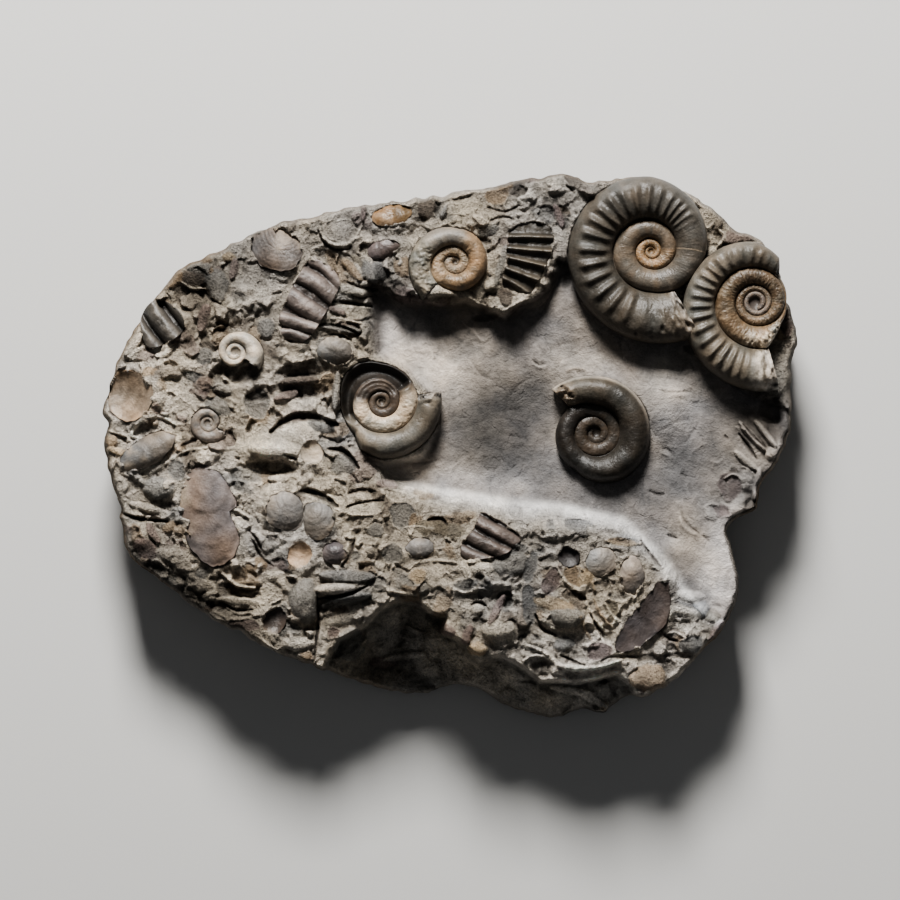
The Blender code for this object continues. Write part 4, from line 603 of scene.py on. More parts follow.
# Coiled shells: the spiral is the outer edge's radius, in pixels, at angles along the growth,
# and the tints are colours at such angles; hand is -1 where it coils the other way
Coil = namedtuple("Coil", "name slot place hand spiral level thick sunk steps turns crest "
                          "crown seam tints crests rib_depth rib_reach infill inlay",
                  defaults=(None, 0.0, None, 0, 0.0))
COILS = [
    Coil("ammonite_large", "dark_ammonite", (650, 252), 1,
         [(-1300, 2.2), (-1100, 3.6), (-900, 6), (-720, 10), (-540, 15.5), (-450, 18), (-360, 25),
          (-270, 31), (-180, 38), (-90, 41), (0, 55), (90, 74), (180, 83), (225, 85),
          (270, 92), (300, 97)],
         level=32.5, thick=8.0, sunk=5.5, steps=400, turns=4, crest=0.56, crown=0.85, seam=0.20,
         rib_depth=1.25, rib_reach=(0.03, 0.88), infill=9,
         crests=(30, 39, 48, 57, 65, 74, 86, 97, 109, 120, 131, 142.5, 153.5, 166, 180, 193.5,
                 207, 220.5, 234.5, 249, 264, 279),
         tints=[(-1300, (0.24, 0.155, 0.080)), (-560, (0.225, 0.140, 0.072)),
                (-440, (0.205, 0.131, 0.072)), (-375, (0.165, 0.112, 0.068)),
                (-330, (0.108, 0.084, 0.061)), (-180, (0.122, 0.096, 0.070)),
                (-60, (0.100, 0.082, 0.063)), (20, (0.070, 0.062, 0.052)),
                (150, (0.066, 0.057, 0.046)), (240, (0.054, 0.046, 0.036)),
                (300, (0.090, 0.078, 0.062))]),
    Coil("ammonite_right", "brown_ammonite", (754, 303), 1,
         [(-1440, 4), (-1260, 6.5), (-1080, 10), (-990, 11), (-900, 12), (-810, 13.5),
          (-720, 15.8), (-630, 17.5), (-540, 20.4), (-450, 23.7), (-400, 26.5), (-360, 29),
          (-290, 33), (-270, 34), (-240, 36.5), (-210, 38), (-180, 40.5), (-150, 42.5),
          (-120, 44), (-90, 46), (-76, 47), (-60, 39), (-40, 33), (0, 30.5), (48, 34.6),
          (62, 50), (90, 60), (180, 72), (270, 89), (285, 90)],
         level=33.5, thick=8.0, sunk=5.5, steps=390, turns=4, crest=0.55, crown=0.8, seam=0.30,
         rib_depth=1.15, rib_reach=(0.03, 0.92), infill=9,
         crests=(66, 77, 88, 99, 110.5, 122.5, 134, 145, 154.5, 164.5, 175, 185, 195.5, 207,
                 218.5, 230, 239, 248, 256, 263, 270, 280),
         # The darker tints at -320 and -250 paint the shadow that the last whorl casts on the top
         # of the whorl inside it; the lighter tint at 170 paints highlights on the ribs at the left
         tints=[(-1440, (0.120, 0.098, 0.085)), (-760, (0.135, 0.108, 0.090)),
                (-690, (0.140, 0.104, 0.072)), (-560, (0.105, 0.074, 0.047)),
                (-400, (0.110, 0.077, 0.048)), (-320, (0.080, 0.056, 0.036)),
                (-250, (0.066, 0.046, 0.030)), (-200, (0.112, 0.078, 0.048)),
                (-150, (0.120, 0.084, 0.052)), (0, (0.180, 0.125, 0.076)),
                (40, (0.12, 0.094, 0.068)), (62, (0.088, 0.074, 0.057)),
                (110, (0.110, 0.094, 0.074)), (170, (0.140, 0.121, 0.096)),
                (225, (0.100, 0.085, 0.066)), (285, (0.135, 0.120, 0.096))]),
    Coil("ammonite_smooth", "dark_ammonite", (595, 433), 1,
         [(-900, 3), (-630, 6), (-500, 9), (-400, 11.5), (-300, 14), (-225, 19.5), (-180, 21),
          (-90, 23.5), (0, 24), (90, 28), (135, 36), (180, 40), (215, 42), (240, 42.5),
          (270, 49), (300, 54), (360, 54.5), (450, 57), (495, 62)],
         level=29.5, thick=6.5, sunk=4.0, steps=240, turns=3, crest=0.54, crown=1.5, seam=0.70,
         tints=[(-900, (0.030, 0.023, 0.017)), (-240, (0.045, 0.033, 0.023)),
                (-100, (0.046, 0.034, 0.024)), (60, (0.031, 0.025, 0.019)),
                (150, (0.022, 0.018, 0.015)), (300, (0.023, 0.020, 0.016)),
                (360, (0.030, 0.025, 0.020)), (450, (0.064, 0.055, 0.043)),
                (495, (0.084, 0.072, 0.056))]),
    Coil("ammonite_broken", "brown_ammonite", (382, 402), 1,
         [(-1430, 1.8), (-1070, 3.6), (-900, 5.5), (-710, 8.2), (-660, 10), (-600, 11.3),
          (-510, 13.6), (-450, 15.2), (-360, 17.6), (-300, 20.5), (-270, 22.8), (-240, 24.8),
          (-180, 28.3), (-150, 30.3), (-90, 30.8), (-60, 32.2), (-30, 33.8), (10, 36),
          (60, 36.5), (90, 38.5), (105, 42), (120, 45), (140, 46), (160, 43.5), (176, 41),
          (215, 41), (230, 42), (246, 52), (270, 57), (320, 59), (370, 60)],
         level=32.0, thick=5.5, sunk=5.0, steps=240, turns=4, crest=0.50, crown=1.0, seam=0.50,
         infill=9, inlay=3.0,
         tints=[(-1430, (0.135, 0.108, 0.082)), (-720, (0.100, 0.077, 0.058)),
                (-350, (0.066, 0.050, 0.038)), (-190, (0.060, 0.045, 0.034)),
                (-168, (0.44, 0.360, 0.275)), (-60, (0.50, 0.410, 0.305)),
                (10, (0.44, 0.345, 0.250)), (34, (0.020, 0.016, 0.013)),
                (200, (0.018, 0.015, 0.012)), (222, (0.165, 0.145, 0.116)),
                (240, (0.155, 0.136, 0.110)), (330, (0.108, 0.096, 0.078)),
                (370, (0.135, 0.118, 0.094))]),
    Coil("ammonite_tan", "tan_ammonite", (455, 263), 1,
         [(-990, 1.6), (-810, 3.2), (-630, 5.6), (-600, 6.7), (-570, 9), (-540, 11), (-450, 12),
          (-360, 13.3), (-300, 14.4), (-270, 16), (-240, 17.3), (-210, 20), (-180, 23.2),
          (-150, 26), (-130, 27.5), (-90, 29.5), (0, 32), (90, 34), (120, 38), (150, 42),
          (180, 46), (230, 50)],
         level=35.0, thick=5.6, sunk=5.0, steps=240, turns=3, crest=0.50, crown=1.15, seam=0.62,
         infill=4,
         tints=[(-990, (0.22, 0.185, 0.15)), (-540, (0.20, 0.158, 0.115)),
                (-400, (0.25, 0.190, 0.130)), (-200, (0.25, 0.180, 0.115)),
                (-90, (0.215, 0.150, 0.092)), (0, (0.225, 0.150, 0.090)),
                (60, (0.22, 0.160, 0.105)), (85, (0.160, 0.140, 0.118)),
                (140, (0.190, 0.172, 0.148)), (155, (0.215, 0.195, 0.158)),
                (230, (0.215, 0.195, 0.158))]),
    Coil("ammonite_cream_small", "tan_ammonite", (236, 353), -1,
         [(-685, 2), (-505, 4), (-325, 6.5), (-180, 8.5), (-90, 10), (35, 11.5), (90, 14),
          (180, 16), (270, 20), (360, 29), (395, 30)],
         level=34.5, thick=4.0, sunk=4.0, steps=200, turns=2, crest=0.50, crown=1.1, seam=0.62,
         infill=6,
         tints=[(-685, (0.42, 0.362, 0.295)), (0, (0.48, 0.415, 0.335)),
                (395, (0.40, 0.345, 0.280))]),
    Coil("coiled_shell_left", "tan_ammonite", (209, 423), 1,
         [(-750, 2), (-570, 3.2), (-390, 5), (-180, 7.5), (-30, 10), (0, 12), (180, 17),
          (330, 23)],
         level=32.5, thick=2.2, sunk=3.5, steps=200, turns=2, crest=0.50, crown=1.0, seam=0.60,
         infill=8, inlay=0.4,
         tints=[(-750, (0.23, 0.195, 0.160)), (0, (0.22, 0.190, 0.160)),
                (330, (0.190, 0.160, 0.136))]),
]

# Bivalve shells: a rise below zero is a dish; the umbo is the turn of the beak from the middle
Shell = namedtuple("Shell", "name place size turn stand rise lean slot tint umbo bands gloss "
                            "buried")
SHELLS = [
    Shell("shell_round_tan", (131, 396), (47, 50), 0, 1.7, -2.8, (-2.5, 0.0), "tan_shell",
          (0.260, 0.195, 0.138), 160, 4, 0.42, 20),
    Shell("shell_oval_grey", (148, 452), (66, 31), 28, 0.4, 4.0, (-2.0, 0.0), "grey_shell",
          (0.165, 0.150, 0.134), 205, 5, 0.50, 250),
    Shell("shell_tall_mauve", (209, 514), (102, 58), 98, 0.7, 2.0, (0.0, -1.8), "mauve_shell",
          (0.200, 0.162, 0.142), 95, 6, 0.42, 180),
    Shell("shell_pair_left", (284, 511), (41, 39), 0, 0.7, 3.0, (0.0, 1.0), "grey_shell",
          (0.207, 0.187, 0.167), 60, 6, 0.50, 200),
    Shell("shell_pair_right", (321, 521), (33, 40), 0, 0.7, 3.0, (0.0, 1.0), "grey_shell",
          (0.207, 0.187, 0.164), 120, 6, 0.50, 330),
    Shell("shell_cream_dish", (301, 555), (25, 28), 0, 1.2, -1.8, (0.0, 1.0), "tan_shell",
          (0.46, 0.340, 0.240), 90, 3, 0.45, 300),
    Shell("shell_purple_dome", (336, 553), (28, 23), 0, 0.3, 3.0, (0.0, -1.0), "mauve_shell",
          (0.100, 0.082, 0.076), 90, 4, 0.38, 320),
    Shell("shell_grey_dome", (336, 352), (38, 30), -8, 0.4, 4.0, (0.0, 0.0), "grey_shell",
          (0.215, 0.198, 0.178), 80, 4, 0.50, 270),
    Shell("shell_cream_round", (313, 453), (25, 24), 0, 0.8, -1.5, (0.0, 0.0), "tan_shell",
          (0.36, 0.320, 0.270), 90, 3, 0.50, 250),
    Shell("shell_glossy_orange", (392, 217), (41, 23), 10, 0.4, 2.2, (0.0, -1.5),
          "orange_shell", (0.165, 0.100, 0.050), 190, 4, 0.34, 260),
    Shell("shell_mauve_flat", (384, 250), (36, 20), 22, 0.5, 2.0, (0.0, 0.0), "mauve_shell",
          (0.105, 0.084, 0.078), 20, 4, 0.38, 60),
    Shell("shell_banded", (278, 250), (57, 45), -32, 0.5, 3.2, (0.0, -2.0), "banded_shell",
          (0.106, 0.084, 0.069), 70, 13, 0.45, 60),
    Shell("shell_smooth_grey", (600, 561), (33, 31), 0, 0.4, 2.5, (0.0, 0.0), "grey_shell",
          (0.240, 0.212, 0.182), 130, 5, 0.50, 270),
    Shell("shell_tall_grey", (631, 575), (27, 40), 0, 0.4, 3.5, (0.0, 0.0), "grey_shell",
          (0.240, 0.212, 0.187), 90, 5, 0.50, 250),
    Shell("shell_long_trough", (645, 614), (92, 35), 56, 1.6, -0.9, (-1.0, 0.0), "mauve_shell",
          (0.090, 0.072, 0.065), 56, 4, 0.38, 130),
    Shell("shell_hollow_left", (275, 620), (30, 24), 60, 0.6, -2.5, (0.0, 0.0), "dark_shell",
          (0.046, 0.038, 0.034), 60, 3, 0.42, 200),
    Shell("shell_hollow_right", (568, 556), (22, 22), 0, 0.5, -2.0, (0.0, 0.0), "dark_shell",
          (0.045, 0.036, 0.031), 90, 3, 0.42, 120),
    Shell("shell_dark_grey_dome", (420, 547), (31, 20), 0, 0.4, 2.5, (0.0, -1.0), "grey_shell",
          (0.190, 0.172, 0.154), 90, 4, 0.50, 250),
]

# Edges of the shells whose own shape is plain to see
SHELL_EDGES = {
    "shell_pair_left": [
        (268, 497), (276, 492), (286, 491), (297, 495), (303, 502), (304, 513), (302, 526),
        (295, 530), (283, 529), (271, 524), (266, 512)],
    "shell_pair_right": [
        (306, 505), (313, 502), (322, 503), (331, 507), (335, 515), (334, 526), (328, 536),
        (319, 540), (309, 537), (305, 526), (305, 514)],
    "shell_long_trough": [
        (663, 578), (668, 592), (669, 606), (665, 623), (647, 639), (628, 650), (614, 647),
        (619, 631), (631, 613), (646, 597), (656, 582)],
    "shell_round_tan": [
        (119, 370), (129, 370), (139, 374), (148, 380), (154, 389), (155, 397), (152, 406),
        (146, 414), (138, 420), (127, 422), (118, 417), (111, 410), (109, 401), (112, 390),
        (115, 379)],
    "shell_tall_mauve": [
        (200, 463), (213, 468), (224, 476), (232, 489), (239, 505), (231, 511), (233, 519),
        (238, 528), (241, 541), (236, 555), (225, 564), (212, 566), (198, 555), (188, 542),
        (187, 531), (190, 521), (182, 516), (178, 505), (184, 488), (191, 472)],
}

# Waves along the broken edges of the other shells: depth as a share of the radius, number
# round the shell, and shift from one shell to the next
EDGE_WAVES = ((0.045, 2.0, 1.0), (0.028, 5.0, -2.0), (0.018, 9.0, 3.0), (0.012, 17.0, 1.0))

# Ribbed pieces of whorl: each rib is a path along its crest; a thin rib stands on a dark
# ground, a fat one (profile "tube") meets the next in a narrow groove. The groove colour is the
# darker ground between ribs, and paints shade into the creases
Piece = namedtuple("Piece", "name slot outline stand rise profile ribs depth tint groove")
PIECES = [
    Piece("whorl_piece_dark", "dark_ammonite",
          [(510, 232), (530, 223), (551, 230), (551, 254), (538, 282), (528, 294), (503, 288),
           (506, 262)], 0.8, 1.0, "thin",
          [([(507, 238), (530, 238), (554, 239)], 2.6), ([(506, 249), (528, 251), (555, 253)], 2.8),
           ([(504, 258), (526, 263), (551, 269)], 2.8), ([(500, 267), (520, 275), (543, 283)], 2.8),
           ([(498, 277), (513, 284), (532, 296)], 2.8)],
          2.1, (0.100, 0.084, 0.064), (0.032, 0.026, 0.019)),
    Piece("whorl_piece_mauve", "mauve_shell",
          [(312, 261), (328, 265), (341, 282), (335, 299), (324, 318), (316, 331), (304, 343),
           (284, 340), (280, 322), (288, 299), (300, 276)], 0.8, 1.5, "tube",
          [([(314, 260), (327, 268), (343, 287)], 7.5), ([(301, 275), (318, 284), (337, 300)], 9.0),
           ([(287, 294), (304, 306), (327, 321)], 9.5), ([(276, 317), (297, 324), (319, 330)], 7.0),
           ([(278, 333), (292, 335), (308, 340)], 6.0)],
          2.7, (0.165, 0.136, 0.120), (0.048, 0.038, 0.033)),
    Piece("whorl_piece_left", "dark_ammonite",
          [(142, 318), (158, 300), (180, 311), (185, 330), (168, 344), (148, 347)], 0.8, 1.0,
          "tube",
          [([(150, 302), (160, 320), (180, 344)], 9.5), ([(134, 318), (144, 335), (160, 354)], 9.0),
           ([(168, 294), (180, 310), (196, 330)], 8.0)],
          3.6, (0.088, 0.078, 0.066), (0.030, 0.026, 0.022)),
    Piece("whorl_piece_lower", "mauve_shell",
          [(485, 512), (519, 535), (514, 546), (500, 555), (466, 559), (461, 546), (474, 526)],
          0.6, 1.2, "tube",
          [([(486, 508), (504, 517), (527, 532)], 6.5),
           ([(475, 519), (495, 530), (521, 544)], 6.5),
           ([(464, 532), (484, 543), (510, 555)], 6.5),
           ([(458, 548), (474, 556), (494, 562)], 6.0)],
          1.9, (0.110, 0.088, 0.076), (0.036, 0.028, 0.024)),
]

# Painted light and painted shade in soft patches, on the rough rock, then on the hollow's floor:
# place, size, turn and brightness
ROCK_PAINTED_LIGHT = [
    ((620, 650), (240, 110), 20, 1.62), ((470, 600), (160, 90), 0, 1.20),
    ((250, 500), (220, 200), 0, 1.48), ((150, 400), (110, 190), 0, 1.60),
    ((310, 390), (110, 110), 0, 1.35), ((215, 280), (130, 70), 35, 0.72),
    ((320, 620), (160, 80), -30, 1.15), ((195, 600), (180, 80), -38, 0.26),
    ((768, 420), (80, 150), 0, 0.66),
]
FLOOR_PAINTED_LIGHT = [
    ((414, 356), (130, 60), -35, 2.3), ((500, 424), (110, 104), 0, 0.42),
    ((585, 318), (60, 50), 0, 0.90), ((452, 482), (190, 34), -6, 1.90),
    ((590, 366), (100, 30), -8, 1.75), ((672, 400), (44, 100), 24, 1.70),
    ((645, 496), (70, 40), 0, 0.85), ((724, 568), (56, 120), -10, 2.9),
    ((700, 452), (64, 60), 0, 0.80), ((748, 430), (44, 60), 0, 0.85),
    ((548, 300), (44, 60), 20, 0.95), ((520, 350), (60, 40), 0, 1.10),
    ((640, 532), (110, 24), -16, 1.80), ((690, 510), (60, 40), 20, 1.15),
    ((400, 320), (40, 40), 0, 1.20), ((660, 370), (70, 30), -20, 1.20),
]


def smooth_step(value):
    """Eases a value from 0 to 1, and holds it there outside that range."""
    share = np.clip(value, 0.0, 1.0)
    return share * share * (3.0 - 2.0 * share)


def rise_over(value, start, width):
    """Eases from 0 at a start to 1 at a width past it."""
    return smooth_step((value - start) / width)


def fall_over(value, stop, width):
    """Eases from 1 down to 0 at a stop, over a width before it."""
    return smooth_step((stop - value) / width)


def mixed(tint, amount, colour):
    """A colour brought towards another one by an amount, at every place."""
    share = amount[..., None]
    return tint * (1.0 - share) + share * np.array(colour)


def bilinear(field, top, left, down, right):
    """Values of a grid at shares of a cell below and to the right of its points."""
    upper = field[top, left] * (1.0 - right) + field[top, left + 1] * right
    lower = field[top + 1, left] * (1.0 - right) + field[top + 1, left + 1] * right
    return upper * (1.0 - down) + lower * down


def grid_values(field, row, column):
    """Values of a field at broken numbers of rows and columns, held at its borders."""
    row = np.clip(row, 0, field.shape[0] - 1.001)
    column = np.clip(column, 0, field.shape[1] - 1.001)
    top = row.astype(int)
    left = column.astype(int)
    down = row - top
    right = column - left
    if field.ndim == 3:
        down = down[..., None]
        right = right[..., None]
    return bilinear(field, top, left, down, right)


def curve_through(points, closed):
    """Dense points of the smooth curve that runs through the given ones."""
    corners = np.array(points, dtype=float)
    count = len(corners)
    dense = []
    for index in range(count if closed else count - 1):
        near = [index - 1, index, index + 1, index + 2]
        near = [k % count if closed else min(max(k, 0), count - 1) for k in near]
        before, start, stop, after = corners[near]
        for share in np.linspace(0.0, 1.0, CURVE_STEPS, endpoint=False):
            dense.append(0.5 * (2 * start + (stop - before) * share
                                + (2 * before - 5 * start + 4 * stop - after) * share ** 2
                                + (3 * start - before - 3 * stop + after) * share ** 3))
    dense.append(corners[0] if closed else corners[-1])
    return np.array(dense)


def even_points(curve, spacing, closed):
    """Points at an even spacing along a dense curve."""
    run = np.concatenate([[0.0], np.cumsum(np.hypot(*np.diff(curve, axis=0).T))])
    count = max(int(round(run[-1] / spacing)), 2)
    stations = np.linspace(0.0, run[-1], count, endpoint=not closed)
    return np.column_stack([np.interp(stations, run, curve[:, axis]) for axis in (0, 1)])


def smooth_loop(points, spacing):
    """Evenly spread points of the closed curve that runs through the given ones."""
    return even_points(curve_through(points, True), spacing, True)


def path_distance(x, y, path, closed=True):
    """Distance from each point to a path, and the nearest segment and share of it."""
    nearest = np.full(x.shape, np.inf)
    segment = np.zeros(x.shape, dtype=int)
    share = np.zeros(x.shape)
    for index in range(len(path) if closed else len(path) - 1):
        start = path[index]
        along = path[(index + 1) % len(path)] - start
        place = ((x - start[0]) * along[0] + (y - start[1]) * along[1]) / (along @ along)
        place = np.clip(place, 0.0, 1.0)
        away = (x - start[0] - along[0] * place) ** 2 + (y - start[1] - along[1] * place) ** 2
        closer = away < nearest
        nearest[closer] = away[closer]
        segment[closer] = index
        share[closer] = place[closer]
    return np.sqrt(nearest), segment, share


def inside_path(x, y, path):
    """Whether each point lies inside a closed path."""
    inside = np.zeros(x.shape, dtype=bool)
    for index in range(len(path)):
        x0, y0 = path[index]
        x1, y1 = path[(index + 1) % len(path)]
        if y0 == y1:
            continue
        crosses = (y0 > y) != (y1 > y)
        inside ^= crosses & (x < (x1 - x0) * (y - y0) / (y1 - y0) + x0)
    return inside


def signed_distance(x, y, path):
    """Distance to a closed path, positive inside it."""
    away = path_distance(x, y, path)[0]
    return np.where(inside_path(x, y, path), away, -away)


def blended_height(x, y, places):
    """Smooth surface through heights given at scattered places."""
    total = np.zeros(x.shape)
    weight = np.full(x.shape, 1e-12)
    for place_x, place_y, height in places:
        near = np.exp(-((x - place_x) ** 2 + (y - place_y) ** 2) / (2.0 * HEIGHT_REACH ** 2))
        total += near * height
        weight += near
    return total / weight


def basin_share(x, y):
    """1 on the floor of the smooth hollow, 0 on the rough rock, between them on its slopes."""
    edge = np.array([point[:2] for point in BASIN_EDGE], dtype=float)
    widths = np.array([point[2] for point in BASIN_EDGE], dtype=float)
    away, segment, share = path_distance(x, y, edge)
    width = widths[segment] * (1.0 - share) + widths[(segment + 1) % len(widths)] * share
    away = np.where(inside_path(x, y, edge), away, -away)
    return smooth_step(0.5 + 0.5 * away / width)


PLATE = smooth_loop(OUTLINE, OUTLINE_SPACING)
PIXEL = PLATE_WIDTH / np.ptp(PLATE[:, 0])
MIDDLE = (PLATE.min(axis=0) + PLATE.max(axis=0)) / 2.0


def ragged_outline(rng):
    """The slab's outline with small chips along it, none outside the smooth one."""
    loop = smooth_loop(OUTLINE, FINE_OUTLINE_SPACING)
    along = np.roll(loop, -1, axis=0) - np.roll(loop, 1, axis=0)
    inward = np.column_stack([along[:, 1], -along[:, 0]])
    inward /= np.linalg.norm(inward, axis=1)[:, None]
    middle = loop.mean(axis=0)
    if np.sum(inward * (loop - middle)) > 0:
        inward = -inward
    count = len(loop)
    chips = sum(cloud((1, count), cell, rng)[0] / weight for cell, weight in ((7, 1), (3, 2)))
    ends = np.minimum(np.arange(count), count - 1 - np.arange(count))
    chips = np.abs(chips) * np.clip(ends / 6.0, 0.0, 1.0)
    return loop + inward * chips[:, None] * OUTLINE_CHIPS


def to_metres(points):
    """Places in the part's frame, from photograph pixels and heights in millimetres."""
    points = np.asarray(points, dtype=float)
    placed = np.column_stack([(points[:, 0] - MIDDLE[0]) * PIXEL,
                              (MIDDLE[1] - points[:, 1]) * PIXEL, points[:, 2] * MM])
    return np.clip(placed, np.array(CAD_LOW) + BOX_MARGIN, np.array(CAD_HIGH) - BOX_MARGIN)


def cloud(shape, cell, rng):
    """Smooth noise from -1 to 1 whose bumps are about a given number of samples wide."""
    coarse = rng.uniform(-1.0, 1.0, (int(shape[0] / cell) + 3, int(shape[1] / cell) + 3))
    row = (np.arange(shape[0]) / cell)[:, None]
    column = (np.arange(shape[1]) / cell)[None, :]
    top = row.astype(int)
    left = column.astype(int)
    return bilinear(coarse, top, left, smooth_step(row - top), smooth_step(column - left))


def fractal_cloud(shape, cell, octaves, rng):
    """Noise with detail at several sizes, each half as wide and half as strong."""
    total = np.zeros(shape)
    for octave in range(octaves):
        total += cloud(shape, cell / 2 ** octave, rng) / 2 ** octave
    return total


def facets(shape, cell, rng):
    """Tilted flat bits of broken rock, about a given number of samples wide."""
    rows = int(shape[0] / cell) + 6
    columns = int(shape[1] / cell) + 6
    seed_down = rng.uniform(0.0, 1.0, (rows, columns))
    seed_right = rng.uniform(0.0, 1.0, (rows, columns))
    tilt_down = rng.normal(0.0, 0.55, (rows, columns))
    tilt_right = rng.normal(0.0, 0.55, (rows, columns))
    offset = rng.normal(0.0, 0.35, (rows, columns))
    even = np.mgrid[0:shape[0], 0:shape[1]] / cell + 2.0
    y, x = [axis + 0.16 * cloud(shape, cell * 0.6, rng) + 0.07 * cloud(shape, cell * 0.25, rng)
            for axis in even]
    nearest = np.full(shape, np.inf)
    level = np.zeros(shape)
    for down in (-1, 0, 1):
        for right in (-1, 0, 1):
            row = y.astype(int) + down
            column = x.astype(int) + right
            away_y = y - row - seed_down[row, column]
            away_x = x - column - seed_right[row, column]
            away = away_x ** 2 + away_y ** 2
            here = (offset[row, column] + tilt_down[row, column] * away_y
                    + tilt_right[row, column] * away_x)
            closer = away < nearest
            level[closer] = here[closer]
            nearest[closer] = away[closer]
    return level


def soften(field, reach):
    """A field evened out over a square of the given half width."""
    size = 2 * reach + 1
    for axis in (0, 1):
        padded = np.concatenate([np.repeat(np.take(field, [0], axis), reach + 1, axis), field,
                                 np.repeat(np.take(field, [-1], axis), reach, axis)], axis)
        summed = np.cumsum(padded, axis)
        upper = np.take(summed, range(size, padded.shape[axis]), axis)
        lower = np.take(summed, range(0, padded.shape[axis] - size), axis)
        field = (upper - lower) / size
    return field


def oval_frame(x, y, place, turn):
    """Coordinates along and across a direction, from a place."""
    angle = math.radians(turn)
    across = x - place[0]
    up = place[1] - y
    return (across * math.cos(angle) + up * math.sin(angle),
            up * math.cos(angle) - across * math.sin(angle))


def oval_radius(x, y, place, size, turn):
    """Distance from an oval's middle, as a share of the oval's own radius that way."""
    along, aside = oval_frame(x, y, place, turn)
    return np.hypot(along / (size[0] / 2.0), aside / (size[1] / 2.0))


def soft_patch(radius):
    """1 in the middle of an oval and fading outwards, from shares of its radius."""
    return 1.0 - smooth_step(radius - PATCH_CORE)


